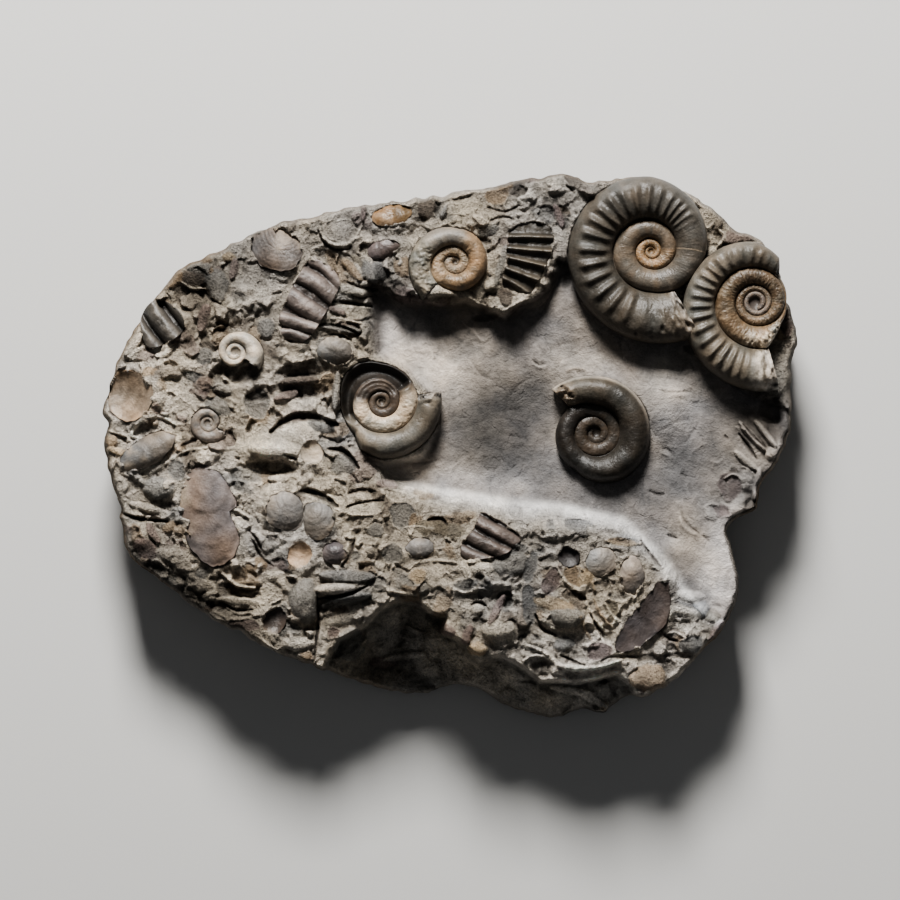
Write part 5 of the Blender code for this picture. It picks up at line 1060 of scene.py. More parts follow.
class Relief:
    """Heights and colours of the rock's upper face on a fine grid."""

    def __init__(self, outline):
        self.outline = outline
        self.low = PLATE.min(axis=0) - RELIEF_MARGIN
        high = PLATE.max(axis=0) + RELIEF_MARGIN
        columns = np.arange(self.low[0], high[0], RELIEF_STEP)
        rows = np.arange(self.low[1], high[1], RELIEF_STEP)
        self.x, self.y = np.meshgrid(columns, rows)
        self.shape = self.x.shape
        self.basin = self.coarse(basin_share, 2)
        self.below = self.coarse(
            lambda x, y: signed_distance(x, y, np.array(APRON_EDGE, dtype=float)), 2)
        self.apron = smooth_step(0.5 + self.below / 8.0)
        self.inward = self.coarse(lambda x, y: signed_distance(x, y, outline), 2)
        self.ground = self.make_ground()
        self.height = self.ground.copy()
        self.clean = np.zeros(self.shape)
        self.wear = fractal_cloud(self.shape, 15.0, 4, np.random.default_rng(WEAR_SEED))
        self.tint = np.ones(self.shape + (3,)) * np.array(ROCK)
        self.rough = (1.0 - self.basin) * (1.0 - self.apron)
        self.plain = self.fall_at_edge(self.ground, RIM_WIDTH, 0.0)

    def coarse(self, function, step):
        """A slow function of place, worked out on a wider grid and filled in between."""
        values = function(self.x[::step, ::step], self.y[::step, ::step])
        return grid_values(values, (np.arange(self.shape[0]) / step)[:, None],
                           (np.arange(self.shape[1]) / step)[None, :])

    def make_ground(self):
        """The broad shape: plateau, hollow, lumps and pits, without the fall at the edge."""
        rough = self.coarse(lambda x, y: blended_height(x, y, ROUGH_HEIGHTS), 4)
        floor = self.coarse(lambda x, y: blended_height(x, y, FLOOR_HEIGHTS), 4)
        height = rough * (1.0 - self.basin) + floor * self.basin
        for lump in LUMPS:
            window = self.window(lump.place, max(lump.size))
            radius = oval_radius(self.x[window], self.y[window], lump.place, lump.size,
                                 lump.turn)
            rise = lump.rise * (LUMP_SHARE if lump.rise > 0 else PIT_SHARE)
            height[window] += rise * soft_patch(radius)
        slope = APRON_TOP - APRON_FALL * np.clip(self.below, 0.0, None)
        return height * (1.0 - self.apron) + slope * self.apron

    def fall_at_edge(self, height, width, wander):
        """The height with the steep fall to the slab's side."""
        inward = np.clip(self.inward, 0.0, None) * PIXEL / MM
        belt = BELT_HEIGHT * (1.0 - self.apron) + APRON_BELT_HEIGHT * self.apron + wander
        rise = np.sqrt(np.clip(inward / width, 0.0, 1.0))
        return belt + (height - belt) * rise

    def window(self, place, reach):
        """The grid cells within reach of a place."""
        column = (place[0] - self.low[0]) / RELIEF_STEP
        row = (place[1] - self.low[1]) / RELIEF_STEP
        cells = reach / RELIEF_STEP
        return (slice(max(int(row - cells), 0), max(int(row + cells) + 2, 0)),
                slice(max(int(column - cells), 0), max(int(column + cells) + 2, 0)))

    def sample(self, field, x, y):
        """Values of a field between its grid points."""
        return grid_values(field, (y - self.low[1]) / RELIEF_STEP,
                           (x - self.low[0]) / RELIEF_STEP)

    def tone(self, window, amount, tint):
        """Mixes a colour into a window of the rock."""
        self.tint[window] = mixed(self.tint[window], amount, tint)

    def oval(self, place, size, turn, ragged, phase):
        """The window of an oval patch and the radius there, its edge a little uneven."""
        window = self.window(place, max(size) * 0.75)
        along, aside = oval_frame(self.x[window], self.y[window], place, turn)
        around = np.arctan2(aside, along)
        edge = 1.0 + ragged * (np.sin(3.0 * around + phase)
                               + 0.7 * np.sin(5.0 * around - 2.0 * phase)
                               + 0.4 * np.sin(9.0 * around + 3.0 * phase))
        radius = np.hypot(along / (size[0] / 2.0), aside / (size[1] / 2.0)) / edge
        return window, radius, along, aside

    def flake(self, place, size, turn, tilt, offset, bulge, phase, tint):
        """Lays one broken flake or shell bit over the surface, with a sharp edge."""
        window, radius, along, aside = self.oval(place, size, turn, FLAKE_RAGGED, phase)
        inside = (radius < 1.0) & (self.rough[window] > 0.35)
        level = self.ground[window] + offset + tilt[0] * along + tilt[1] * aside
        level = level + bulge * (1.0 - radius ** 2)
        self.height[window] = np.where(inside, level, self.height[window])
        if tint is not None:
            self.tone(window, FLAKE_TONE * inside, tint)

    def bit(self, bit, rng):
        """Sets one bit of shell or one hollow into the surface."""
        window, radius, _, aside = self.oval(bit.place, bit.size, bit.turn, BIT_RAGGED,
                                             rng.uniform(0.0, 6.3))
        height = self.height[window]
        ground = self.ground[window]
        swell = np.sqrt(np.clip(1.0 - radius ** 2, 0.0, 1.0))
        if bit.kind == "pit":
            depth = bit.rise * np.clip(1.6 * (1.0 - radius ** 2), 0.0, 1.0) ** 0.8
            made = height - PIT_DEPTH * depth
            self.height[window] = np.where(radius < 1.0, made, height)
            # The pit's tint is painted shade in the hollow
            self.tone(window, PIT_SHADE_TONE * np.clip(2.0 * swell, 0.0, 1.0), TINTS[bit.tint])
            return
        if bit.kind == "dish":  # with a low rim
            made = ground + 0.5 - bit.rise * swell ** 1.4
            rim = ground + 0.5 - 6.0 * np.clip(radius - 1.0, 0.0, None)
            height = np.where(radius < 1.18, np.maximum(height, rim), height)
            bare = radius < 1.0
        elif bit.kind == "bar":
            profile = np.sqrt(np.clip(1.0 - (aside / (bit.size[1] / 2.0)) ** 2, 0.0, 1.0))
            made = ground + 0.2 + bit.rise * profile * np.clip(3.0 * swell, 0.0, 1.0)
            bare = (radius < 1.0) & (made > height - 0.3)
        else:
            made = ground + 0.80 * bit.rise * swell ** 1.2
            bare = (radius < 1.0) & (made > height - 0.35)
        self.height[window] = np.where(bare, np.maximum(made, height - 0.6), height)
        self.clean[window] = np.where(bare, 1.0, self.clean[window])
        self.tone(window, BIT_TONE * bare, TINTS[bit.tint])

    def line(self, line, share):
        """Raises a thin edge or cuts a crack along a path."""
        path = even_points(curve_through(line.path, False), PATH_SPACING, False)
        middle = (path.min(axis=0) + path.max(axis=0)) / 2.0
        window = self.window(middle, np.ptp(path, axis=0).max() / 2.0 + 3.0 * line.width)
        away, segment, _ = path_distance(self.x[window], self.y[window], path, False)
        taper = np.sin(math.pi * np.clip((segment + 0.5) / (len(path) - 1), 0.06, 0.94)) ** 0.4
        across = away / (line.width * taper)
        bump = np.clip(1.0 - across ** 2, 0.0, 1.0)
        if line.rise > 0 and share > 0.9:
            bump = bump * (0.75 + 0.25 * np.sin(1.9 * segment + path[0, 0]))
            crest = self.ground[window] + 0.1 + 0.85 * line.rise * bump
            raised = np.maximum(self.height[window], crest)
            self.height[window] = np.where(across < 1.0, raised, self.height[window])
        else:
            self.height[window] += line.rise * bump
        # On a sunken crack a dark or brown tint is painted shade
        if line.tint is not None:
            self.tone(window, LINE_TONE * share * (across < 1.0), TINTS[line.tint])

    def limit(self, window, inside, ceiling):
        """Keeps the rock below a fossil that stands in it."""
        height = self.height[window]
        self.height[window] = np.where(inside, np.minimum(height, ceiling), height)

    def bury(self, window, inside, surface, cover):
        """Lets the rock lap over a fossil's edge where the cover is above zero."""
        height = self.height[window]
        lapped = surface + np.where(cover > 0.0, 0.9 * cover, 1.4 * cover)
        over = np.maximum(np.minimum(height, lapped + 1.0), lapped)
        covered = np.where(cover > 0.0, over, np.minimum(height, lapped))
        self.height[window] = np.where(inside, covered, height)

    def bank(self, window, outward, level):
        """Banks the rock up around a fossil, to a level that falls off away from its edge."""
        height = self.height[window]
        banked = level - BANK_FALL * outward ** 2
        near = (outward >= 0.0) & (outward < BANK_REACH) & (self.inward[window] > 4.0)
        partly = height + BANK_SHARE * (banked - height)
        self.height[window] = np.where(near & (banked > height), partly, height)


def scatter_flakes(relief, rng):
    """Covers the rough rock with overlapping flakes and bits of shell."""
    left, top = PLATE.min(axis=0)
    right, bottom = PLATE.max(axis=0)
    for index in range(FLAKES):
        place = (rng.uniform(left, right), rng.uniform(top, bottom))
        reach = FIRST_FLAKE * (1.0 - index / FLAKES) ** 0.7 + LAST_FLAKE
        size = (rng.uniform(0.6, 1.4) * reach, rng.uniform(0.35, 0.9) * reach)
        tilt = rng.normal(0.0, 0.060, 2)
        offset = rng.normal(0.0, 0.30)
        bulge = rng.normal(0.3, 0.45) * reach / 18.0
        turn = rng.normal(0.0, 50.0)
        tint = FLAKE_TINTS[rng.integers(len(FLAKE_TINTS))]
        relief.flake(place, size, turn, tilt, offset, bulge, rng.uniform(0.0, 6.3), tint)
    relief.height = ((1.0 - FLAKE_SOFTNESS) * relief.height
                     + FLAKE_SOFTNESS * soften(relief.height, 1))
    broken = BIG_FACETS * facets(relief.shape, 22.0, rng)
    broken = broken + SMALL_FACETS * facets(relief.shape, 10.0, rng)
    relief.height += relief.rough * broken
    level = relief.height / LEDGE_STEP + 0.5 * fractal_cloud(relief.shape, 24.0, 3, rng)
    share = level - np.floor(level)
    ledges = (smooth_step((share - 0.36) / 0.28) - share) * LEDGE_STEP
    relief.height += relief.rough * LEDGE_SHARE * ledges


def add_details(relief, rng):
    """Sets the catalogued bits, edges and cracks into the rough rock, then the floor's marks."""
    for bit in BITS:
        relief.bit(bit, rng)
    for line in LINES:
        relief.line(line, 1.0)
    for mark in MARKS:
        relief.line(mark, MARK_SHARE)


def scratch_floor(relief, rng):
    """Fine curved tool marks all over the cleaned floor."""
    for _ in range(SCRATCHES):
        place = np.array([rng.uniform(*FLOOR_ACROSS), rng.uniform(*FLOOR_DOWN)])
        heading = rng.uniform(0.0, math.pi)
        length = rng.uniform(4.0, 20.0)
        bend = rng.normal(0.0, 0.5)
        step = np.array([math.cos(heading), math.sin(heading)])
        aside = np.array([-step[1], step[0]])
        path = [place - step * length, place + aside * bend * length, place + step * length]
        if relief.sample(relief.basin, *place) < 0.95:
            continue
        rise = rng.choice([-0.10, -0.16, 0.09])
        tint = ["pale", "grey", "pale", None][rng.integers(4)]
        relief.line(Line(path, rng.uniform(0.8, 1.5), rise, tint), SCRATCH_SHARE)


def painted_brightness(relief, patches):
    """How bright a list of patches of painted light and shade makes each place."""
    light = np.ones(relief.shape)
    for place, size, turn, tone in patches:
        radius = oval_radius(relief.x, relief.y, place, size, turn)
        light += (tone - 1.0) * soft_patch(radius)
    return light


def roughen(relief, grain, lumps, chips):
    """Adds the grain and chips of the broken rock, and the floor's unevenness."""
    gritty = relief.rough * (1.0 - 0.6 * soften(relief.clean, 1))
    relief.height += gritty * (ROCK_GRAIN * grain + ROCK_CHIPS * chips)
    relief.height += (relief.rough * ROCK_LUMPS * lumps
                      + (1.0 - relief.rough) * FLOOR_LUMPS * lumps)
    relief.height += (1.0 - relief.rough) * FLOOR_GRAIN * grain


def painted_relief_shading(height):
    """Painted highlight on what stands out and painted shade on what lies low, over a narrow and a
    wide reach.
    """
    shade = 1.0
    for reach, step, strength in PAINTED_RELIEF_SHADING:
        away = height - soften(height, reach)
        shade = shade + strength * np.clip(away / step, -1.0, 1.0)
    return shade


def stain_rock(relief, broad):
    """Colours the rock warm and cool by turns, with its patches of painted light and shade."""
    warm = np.clip(0.5 + 0.8 * broad, 0.0, 1.0)[..., None]
    rock = np.array(ROCK)
    stain = rock * (np.array(WARM_STAIN) * warm + np.array(COOL_STAIN) * (1 - warm))
    # Painted light and shade of the rock's patches, on the rough rock only
    patches = 1.0 + (painted_brightness(relief, ROCK_PAINTED_LIGHT) - 1.0) * relief.rough
    relief.tint = relief.tint * stain / rock * patches[..., None]


def colour_floor(relief, grain, lumps, broad, rng):
    """Colours the cleaned floor: painted light and shade in patches, darker veins, and chalk with
    painted light on the lower slopes.
    """
    # Painted light and shade of the floor's patches
    light = painted_brightness(relief, FLOOR_PAINTED_LIGHT)
    veins = np.clip(1.0 - 7.0 * np.abs(fractal_cloud(relief.shape, 20.0, 3, rng)), 0.0, 1.0)
    light *= 1.0 + 0.16 * broad + 0.13 * lumps + 0.05 * grain - 0.13 * veins
    # Chalk with painted light on the lower slopes of the hollow, which face the lamp
    slope = np.clip(5.2 * relief.basin * (1.0 - relief.basin), 0.0, 1.0)
    slope *= rise_over(relief.y, SLOPE_LIGHT_FROM, SLOPE_LIGHT_BELT) * np.clip(0.9 + 0.35 * lumps, 0.0, 1.0)
    cool = np.clip(lumps, -1.0, 1.0)[..., None] * np.array(FLOOR_SHIFT)
    floor = mixed(np.array(BASIN) * light[..., None] * (1.0 + cool), 0.9 * slope, CHALK_AND_SLOPE_LIGHT)
    marked = np.clip(relief.tint / np.array(ROCK), 0.0, 2.0) ** 0.8
    relief.tint = mixed(relief.tint, np.clip(1.4 * relief.basin, 0.0, 1.0), floor * marked)


def colour_apron(relief, lumps):
    """Colours the slope at the front, in a paler stone that paints light onto it where it lies in
    shade.
    """
    marked = np.clip(relief.tint / np.array(ROCK), 0.0, 1.6)
    stone = np.array(PAINTED_LIGHT_APRON) * (1.0 + 0.25 * lumps[..., None])
    relief.tint = mixed(relief.tint, relief.apron, stone * marked)


def finish_relief(relief, rng):
    """Adds grain, the colours of rock, floor and slope, and the fall at the border."""
    grain = fractal_cloud(relief.shape, 4.0, 2, rng)
    lumps = fractal_cloud(relief.shape, 26.0, 3, rng)
    broad = fractal_cloud(relief.shape, 60.0, 3, rng)
    chips = facets(relief.shape, 5.0, rng) + 0.55 * facets(relief.shape, 2.6, rng)
    roughen(relief, grain, lumps, chips)
    stain_rock(relief, broad)
    colour_floor(relief, grain, lumps, broad, rng)
    colour_apron(relief, lumps)
    # Painted shade in the hollows of the face and painted highlight on its raised edges
    relief.tint *= painted_relief_shading(relief.height)[..., None]
    relief.height += relief.apron * (APRON_BLOCKS * facets(relief.shape, 26.0, rng)
                                     + APRON_FACETS * facets(relief.shape, 12.0, rng)
                                     + APRON_CHIPS * chips)
    wander = fractal_cloud(relief.shape, 18.0, 3, rng)
    width = RIM_WIDTH * (1.0 + 0.35 * wander)
    relief.height = relief.fall_at_edge(relief.height, width, RIM_WANDER * wander)
    relief.height = np.clip(relief.height, 1.0, TOP_LIMIT)


def mesh_from(name, vertices, faces):
    """A mesh object from arrays of vertices and faces, shaded smooth."""
    mesh = bpy.data.meshes.new(name)
    mesh.from_pydata([tuple(vertex) for vertex in vertices], [], [tuple(f) for f in faces])
    mesh.update()
    mesh.shade_smooth()
    item = bpy.data.objects.new(name, mesh)
    bpy.context.collection.objects.link(item)
    return item


def paint(item, colours):
    """Stores a colour for every vertex, for the material to read."""
    layer = item.data.attributes.new("tint", "FLOAT_COLOR", "POINT")
    packed = np.ones((len(item.data.vertices), 4), dtype=np.float32)
    packed[:, :colours.shape[1]] = np.clip(colours, 0.0, 1.0)
    layer.data.foreach_set("color", packed.ravel())


def close_mesh(item):
    """Fills open ends, turns every face outwards and counts the triangles."""
    builder = bmesh.new()
    builder.from_mesh(item.data)
    open_edges = [edge for edge in builder.edges if edge.is_boundary]
    if open_edges:
        bmesh.ops.holes_fill(builder, edges=open_edges, sides=0)
    bmesh.ops.triangulate(builder, faces=list(builder.faces))
    bmesh.ops.recalc_face_normals(builder, faces=list(builder.faces))
    count = len(builder.faces)
    builder.to_mesh(item.data)
    builder.free()
    return count


def rock_grid(relief):
    """Vertices and quads of the upper face, up to the cells that the outline crosses."""
    columns = np.arange(relief.x[0, 0] + 2, relief.x[0, -1] - 2, MESH_STEP)
    rows = np.arange(relief.y[0, 0] + 2, relief.y[-1, 0] - 2, MESH_STEP)
    x, y = np.meshgrid(columns, rows)
    inside = relief.sample(relief.inward, x, y) > 0.3 * MESH_STEP
    cells = inside[:-1, :-1] & inside[1:, :-1] & inside[:-1, 1:] & inside[1:, 1:]
    number = np.full(x.shape, -1)
    used = np.zeros(x.shape, dtype=bool)
    for row_shift in (0, 1):
        for column_shift in (0, 1):
            used[row_shift:row_shift + cells.shape[0],
                 column_shift:column_shift + cells.shape[1]] |= cells
    number[used] = np.arange(used.sum())
    row, column = np.nonzero(cells)
    quads = np.column_stack([number[row, column], number[row + 1, column],
                             number[row + 1, column + 1], number[row, column + 1]])
    return np.column_stack([x[used], y[used]]), quads


def border_edges(quads):
    """Edges that only one quad uses, in the direction in which that quad runs."""
    start = quads.ravel()
    stop = np.roll(quads, -1, axis=1).ravel()
    key = start.astype(np.int64) * (start.max() + 1) + stop
    back = stop.astype(np.int64) * (start.max() + 1) + start
    lone = ~np.isin(key, back)
    return np.column_stack([start[lone], stop[lone]])


def snap_to_outline(points, border, outline):
    """Moves the border's points onto the outline, and gives the outward direction there."""
    _, segment, share = path_distance(points[border, 0], points[border, 1], outline)
    start = outline[segment]
    along = outline[(segment + 1) % len(outline)] - start
    points[border] = start + along * share[:, None]
    loop = smooth_loop(OUTLINE, SIDE_OUTLINE_SPACING)
    _, segment, _ = path_distance(points[border, 0], points[border, 1], loop)
    along = np.roll(loop, -2, axis=0)[segment] - np.roll(loop, 1, axis=0)[segment]
    outward = np.column_stack([along[:, 1], -along[:, 0]])
    outward /= np.linalg.norm(outward, axis=1)[:, None]
    facing = np.sum(outward * (points[border] - points.mean(axis=0)))
    return outward if facing > 0 else -outward


def side_station(points):
    """Which of the even steps round the slab each place belongs to."""
    angle = np.arctan2(points[:, 1] - MIDDLE[1], points[:, 0] - MIDDLE[0])
    return ((angle + math.pi) / (2.0 * math.pi) * (SIDE_STATIONS - 1)).astype(int)


def side_wander(rng):
    """How far the broken side stands back, for every ring and station round the slab."""
    rows = ((SIDE_RINGS + 1) * ROWS_A_RING, SIDE_STATIONS)
    wander = 0.4 * fractal_cloud(rows, 30.0, 3, rng) + 0.9 * facets(rows, 26.0, rng)
    wander += 0.4 * facets(rows, 10.0, rng)
    return np.clip(wander[::ROWS_A_RING], -1.0, 1.8)


def rock_mesh(relief, rng):
    """Vertices and faces of the slab's upper face and of the rings of its side."""
    flat, quads = rock_grid(relief)
    edges = border_edges(quads)
    border = np.unique(edges)
    outward = snap_to_outline(flat, border, relief.outline)
    height = relief.sample(relief.height, flat[:, 0], flat[:, 1])
    vertices = [np.column_stack([flat, height])]
    faces = [quads]
    place = np.full(len(flat), -1)
    place[border] = np.arange(len(border))
    start = place[edges[:, 0]]
    stop = place[edges[:, 1]]
    belt = height[border]
    upper = border
    total = len(flat)
    levels = np.linspace(0.0, 1.0, SIDE_RINGS + 1)[1:]
    station = side_station(flat[border])
    wander = side_wander(rng)
    blend = np.clip(np.minimum(station, SIDE_STATIONS - 1 - station) / 12.0, 0.0, 1.0)
    loop = smooth_loop(OUTLINE, FINE_OUTLINE_SPACING)
    chipped = signed_distance(flat[border, 0], flat[border, 1], loop)
    for index, level in enumerate(levels):
        inset = UNDERCUT_INSET * level + (BASE_INSET - UNDERCUT_INSET) * level ** 6
        rough = SIDE_ROUGHNESS * (0.5 + 0.5 * wander[index, station] * blend)
        rough *= math.sin(math.pi * min(level, 0.93)) ** 0.5
        filled = 0.7 * chipped * min(3.0 * level, 1.0)
        ring = flat[border] - outward * ((inset + rough) * MM / PIXEL - filled)[:, None]
        vertices.append(np.column_stack([ring, belt * (1.0 - level)]))
        lower = np.arange(len(border)) + total
        total += len(border)
        faces.append(np.column_stack([upper[start], lower[start], lower[stop], upper[stop]]))
        upper = lower
    return np.vstack(vertices), np.vstack(faces)


def paint_rock(item, relief, rng):
    """Colours the slab: its face from the relief, its side in stained stone."""
    places = places_of(item)
    tint, smooth, inward, surface = [
        relief.sample(field, places[:, 0], places[:, 1])
        for field in (relief.tint, relief.basin, relief.inward, relief.height)]
    below = surface - places[:, 2]
    wall = np.maximum(1.0 - rise_over(inward, 0.5, WALL_WIDTH), smooth_step(below - 1.0))
    last = STAIN_ROWS - 1
    row = np.clip(places[:, 2] / TOP_LIMIT * last, 0, last).astype(int)
    station = side_station(places)
    stain = fractal_cloud((STAIN_ROWS, SIDE_STATIONS), 26.0, 4, rng)[row, station]
    warm = fractal_cloud((STAIN_ROWS, SIDE_STATIONS), 60.0, 3, rng)[row, station]
    stone = mixed(np.array(ROCK), np.clip(0.5 + warm, 0.0, 1.0), TAN)
    stone = SIDE_TONE * stone * (1.0 + 0.35 * stain)[:, None]
    paint(item, np.column_stack([mixed(tint, wall, stone), smooth * (1.0 - wall)]))


def make_rock(relief, rng):
    """The whole slab: upper face, rough sides and flat underside, in one mesh."""
    vertices, faces = rock_mesh(relief, rng)
    item = mesh_from("rock", to_metres(vertices), faces)
    count = close_mesh(item)
    thin = item.modifiers.new("thin_out", "DECIMATE")
    thin.ratio = min(1.0, ROCK_TRIANGLES / count)
    settle(item)
    paint_rock(item, relief, rng)
    return item


def settle(item):
    """Applies an object's modifiers to its mesh."""
    graph = bpy.context.evaluated_depsgraph_get()
    done = bpy.data.meshes.new_from_object(item.evaluated_get(graph))
    old = item.data
    item.modifiers.clear()
    item.data = done
    bpy.data.meshes.remove(old)
    item.data.shade_smooth()


def places_of(item):
    """The vertices' places, as photograph pixels and heights in millimetres."""
    flat = np.empty(len(item.data.vertices) * 3)
    item.data.vertices.foreach_get("co", flat)
    flat = flat.reshape(-1, 3)
    return np.column_stack([flat[:, 0] / PIXEL + MIDDLE[0], MIDDLE[1] - flat[:, 1] / PIXEL,
                            flat[:, 2] / MM])


def coil_radius(coil, degrees):
    """Radius of the coil's outer edge, in pixels, at an angle along its growth."""
    angles = [point[0] for point in coil.spiral]
    radii = [math.log(point[1]) for point in coil.spiral]
    return np.exp(np.interp(degrees, angles, radii))


def coil_crown(coil, degrees):
    """Height of a whorl's crown at an angle along the growth: wide whorls stand higher."""
    end = coil.spiral[-1][0]
    width = coil_radius(coil, degrees) - coil_radius(coil, degrees - 360.0)
    last = coil_radius(coil, end) - coil_radius(coil, end - 360.0)
    return coil.level + coil.thick * np.clip(width / last, 0.03, 1.0) ** coil.crown


def coil_seam(coil, degrees):
    """Height of the groove between two whorls, and of the outer edge on the last one."""
    end = coil.spiral[-1][0]
    past = rise_over(degrees, end - 360.0, 14.0)
    return coil.level + coil.seam * (coil_crown(coil, degrees) - coil.level) * (1.0 - past)


def coil_tint(coil, degrees):
    """Colour of the coil at an angle along its growth."""
    angles = [row[0] for row in coil.tints]
    return np.stack([np.interp(degrees, angles, [row[1][channel] for row in coil.tints])
                     for channel in range(3)], axis=-1)


def coil_edge(coil, x, y):
    """Distance of places from the coil's middle, as a share of its visible edge there."""
    across = x - coil.place[0]
    up = coil.place[1] - y
    degrees = np.degrees(np.arctan2(up, across)) * coil.hand
    end = coil.spiral[-1][0]
    turned = end - (end - degrees) % 360.0
    return np.hypot(across, up) / coil_radius(coil, turned)


# A coil's strip of whorls: angles along the growth, shares across a whorl and whorl widths
Strip = namedtuple("Strip", "coil degrees share width")


def whorl_arch(coil, share, low, crown, high):
    """Height of a whorl across its width, from its inner groove over its crown."""
    rising = np.sqrt(np.clip(1.0 - ((coil.crest - share) / coil.crest) ** 2, 0.0, 1.0))
    falling = np.sqrt(np.clip(1.0 - ((share - coil.crest) / (1.0 - coil.crest)) ** 2, 0.0, 1.0))
    return np.where(share < coil.crest, low + (crown - low) * rising,
                    high + (crown - high) * falling)


def make_coil(coil, rng):
    """A coiled shell: a fine spiral strip of whorls, and a plain foot in the rock."""
    steps = coil.steps
    last = steps * (coil.turns + 1)
    end = coil.spiral[-1][0]
    angles = end - 360.0 * (last - np.arange(last + 1)) / steps
    outer = coil_radius(coil, angles)
    seams = coil_seam(coil, angles)
    even = np.linspace(0.0, 1.0, COIL_ACROSS + 2)[1:-1]
    crowded = 0.5 - 0.5 * np.cos(math.pi * even)
    across = 0.55 * even + 0.45 * crowded
    rows = angles[steps:, None]
    inner = outer[:-steps, None]
    reach = outer[steps:, None]
    low = seams[:-steps, None]
    high = seams[steps:, None]
    width = (reach - inner) / (outer[-1] - outer[-1 - steps])
    crown = np.maximum(coil_crown(coil, rows), np.maximum(low, high) + 0.15)
    share = np.broadcast_to(across[None, :], (last + 1 - steps, COIL_ACROSS))
    height = whorl_arch(coil, share, low, crown, high)
    size = np.clip(width, 0.0, 1.0)
    height = height + size * coil_ribs(coil, rows, share)
    tint = coil_tint(coil, np.broadcast_to(rows, share.shape))
    noise = fractal_cloud(share.shape, 9.0, 3, rng)
    height = height + WHORL_WEAR * size * noise
    height, tint = coil_detail(Strip(coil, rows, share, width), height, tint, rng)
    tint = tint * (1.0 + WHORL_MOTTLE * noise[..., None])
    seam_tint = coil_tint(coil, angles) * SEAM_TONE
    radius = inner + (reach - inner) * share
    turn = np.radians(rows) * coil.hand
    x = coil.place[0] + radius * np.cos(turn)
    y = coil.place[1] - radius * np.sin(turn)
    edge_turn = np.radians(angles) * coil.hand
    seam_points = np.column_stack([coil.place[0] + outer * np.cos(edge_turn),
                                   coil.place[1] - outer * np.sin(edge_turn), seams])
    strip = np.column_stack([x.ravel(), y.ravel(), height.ravel()])
    points = np.vstack([seam_points, strip, [[*coil.place, seams[0] + 0.1]]])
    colours = np.vstack([seam_tint, tint.reshape(-1, 3), seam_tint[:1]])
    return join_coil(coil, points, colours, last)


def coil_ribs(coil, degrees, share):
    """How far the ribs lift the shell, at angles along the growth and shares across."""
    if coil.crests is None:
        return 0.0
    start = coil.crests[0]
    stop = coil.crests[-1]
    young = np.clip((135.0 - degrees) / 40.0, 0.0, 1.0)
    turned = degrees + (1.5 + 6.0 * young) * share
    phase = 2.0 * math.pi * np.interp(turned, coil.crests, range(len(coil.crests)))
    fade = smooth_step((degrees - start + 4.0) / 30.0) * fall_over(degrees, stop, 42.0)
    fade = fade * (1.0 - 0.35 * young)
    crest = (0.5 + 0.5 * np.cos(phase)) ** 1.5 - 0.42
    low, high = coil.rib_reach
    window = rise_over(share, low, 0.22) * fall_over(share, high, 0.22)
    knob = 1.0 + 0.35 * np.exp(-((share - high + 0.20) / 0.08) ** 2)
    return coil.rib_depth * crest * fade * window * knob


def large_detail(strip, height, tint, grit):
    """Worn inner whorls with calcite, a crack, a paler outer edge and a frayed end."""
    degrees, share, width = strip.degrees, strip.share, strip.width
    polish = fall_over(degrees, -330.0, 60.0)
    height = height + 0.35 * polish * np.clip(width, 0.15, 1.0) * grit
    tint = mixed(tint, 0.5 * (polish * (grit > 0.35)), CALCITE)
    fray = smooth_step((degrees - 268.0 - 12.0 * grit) / 14.0) * rise_over(share, 0.15, 0.35)
    height = height + 0.75 * fray * grit
    tint = mixed(tint, 0.6 * fray * np.clip(0.7 + 0.6 * grit, 0.0, 1.0), BARE_STONE)
    crack = np.exp(-((degrees - 2.0 + 8.0 * (share - 0.5)) / 0.6) ** 2)
    tint = mixed(tint, 0.7 * crack, CREAM)
    venter = rise_over(share, 0.80, 0.12) * rise_over(degrees, 20.0, 20.0)
    return height, tint * (1.0 + 0.25 * venter[..., None])


def right_detail(strip, height, tint, grit):
    """Mottled inner whorls, a chalky stretch, a broken step and a dusty end."""
    degrees, share = strip.degrees, strip.share
    mottle = fall_over(degrees, -20.0, 40.0)
    height = height + 0.10 * mottle * grit
    tint = mixed(tint, 0.25 * (mottle * np.clip(grit * 1.5, 0.0, 1.0)), CREAM)
    chalk = rise_over(degrees, -118.0, 30.0) * fall_over(degrees, -28.0, 22.0)
    chalk = chalk * rise_over(share, 0.22, 0.3)
    height = height + 0.30 * chalk * grit
    tint = mixed(tint, chalk * np.clip(0.65 + 0.5 * grit, 0.0, 1.0), CHALKY)
    broken = fall_over(degrees, 62.0, 8.0) * rise_over(degrees, 40.0, 8.0)
    height = height + broken * 0.5 * grit
    dusty = rise_over(degrees, 262.0, 14.0)
    height = height + 0.25 * dusty * grit
    return height, mixed(tint, 0.7 * (dusty * np.clip(0.5 + grit, 0.0, 1.0)), PALE_ROCK)


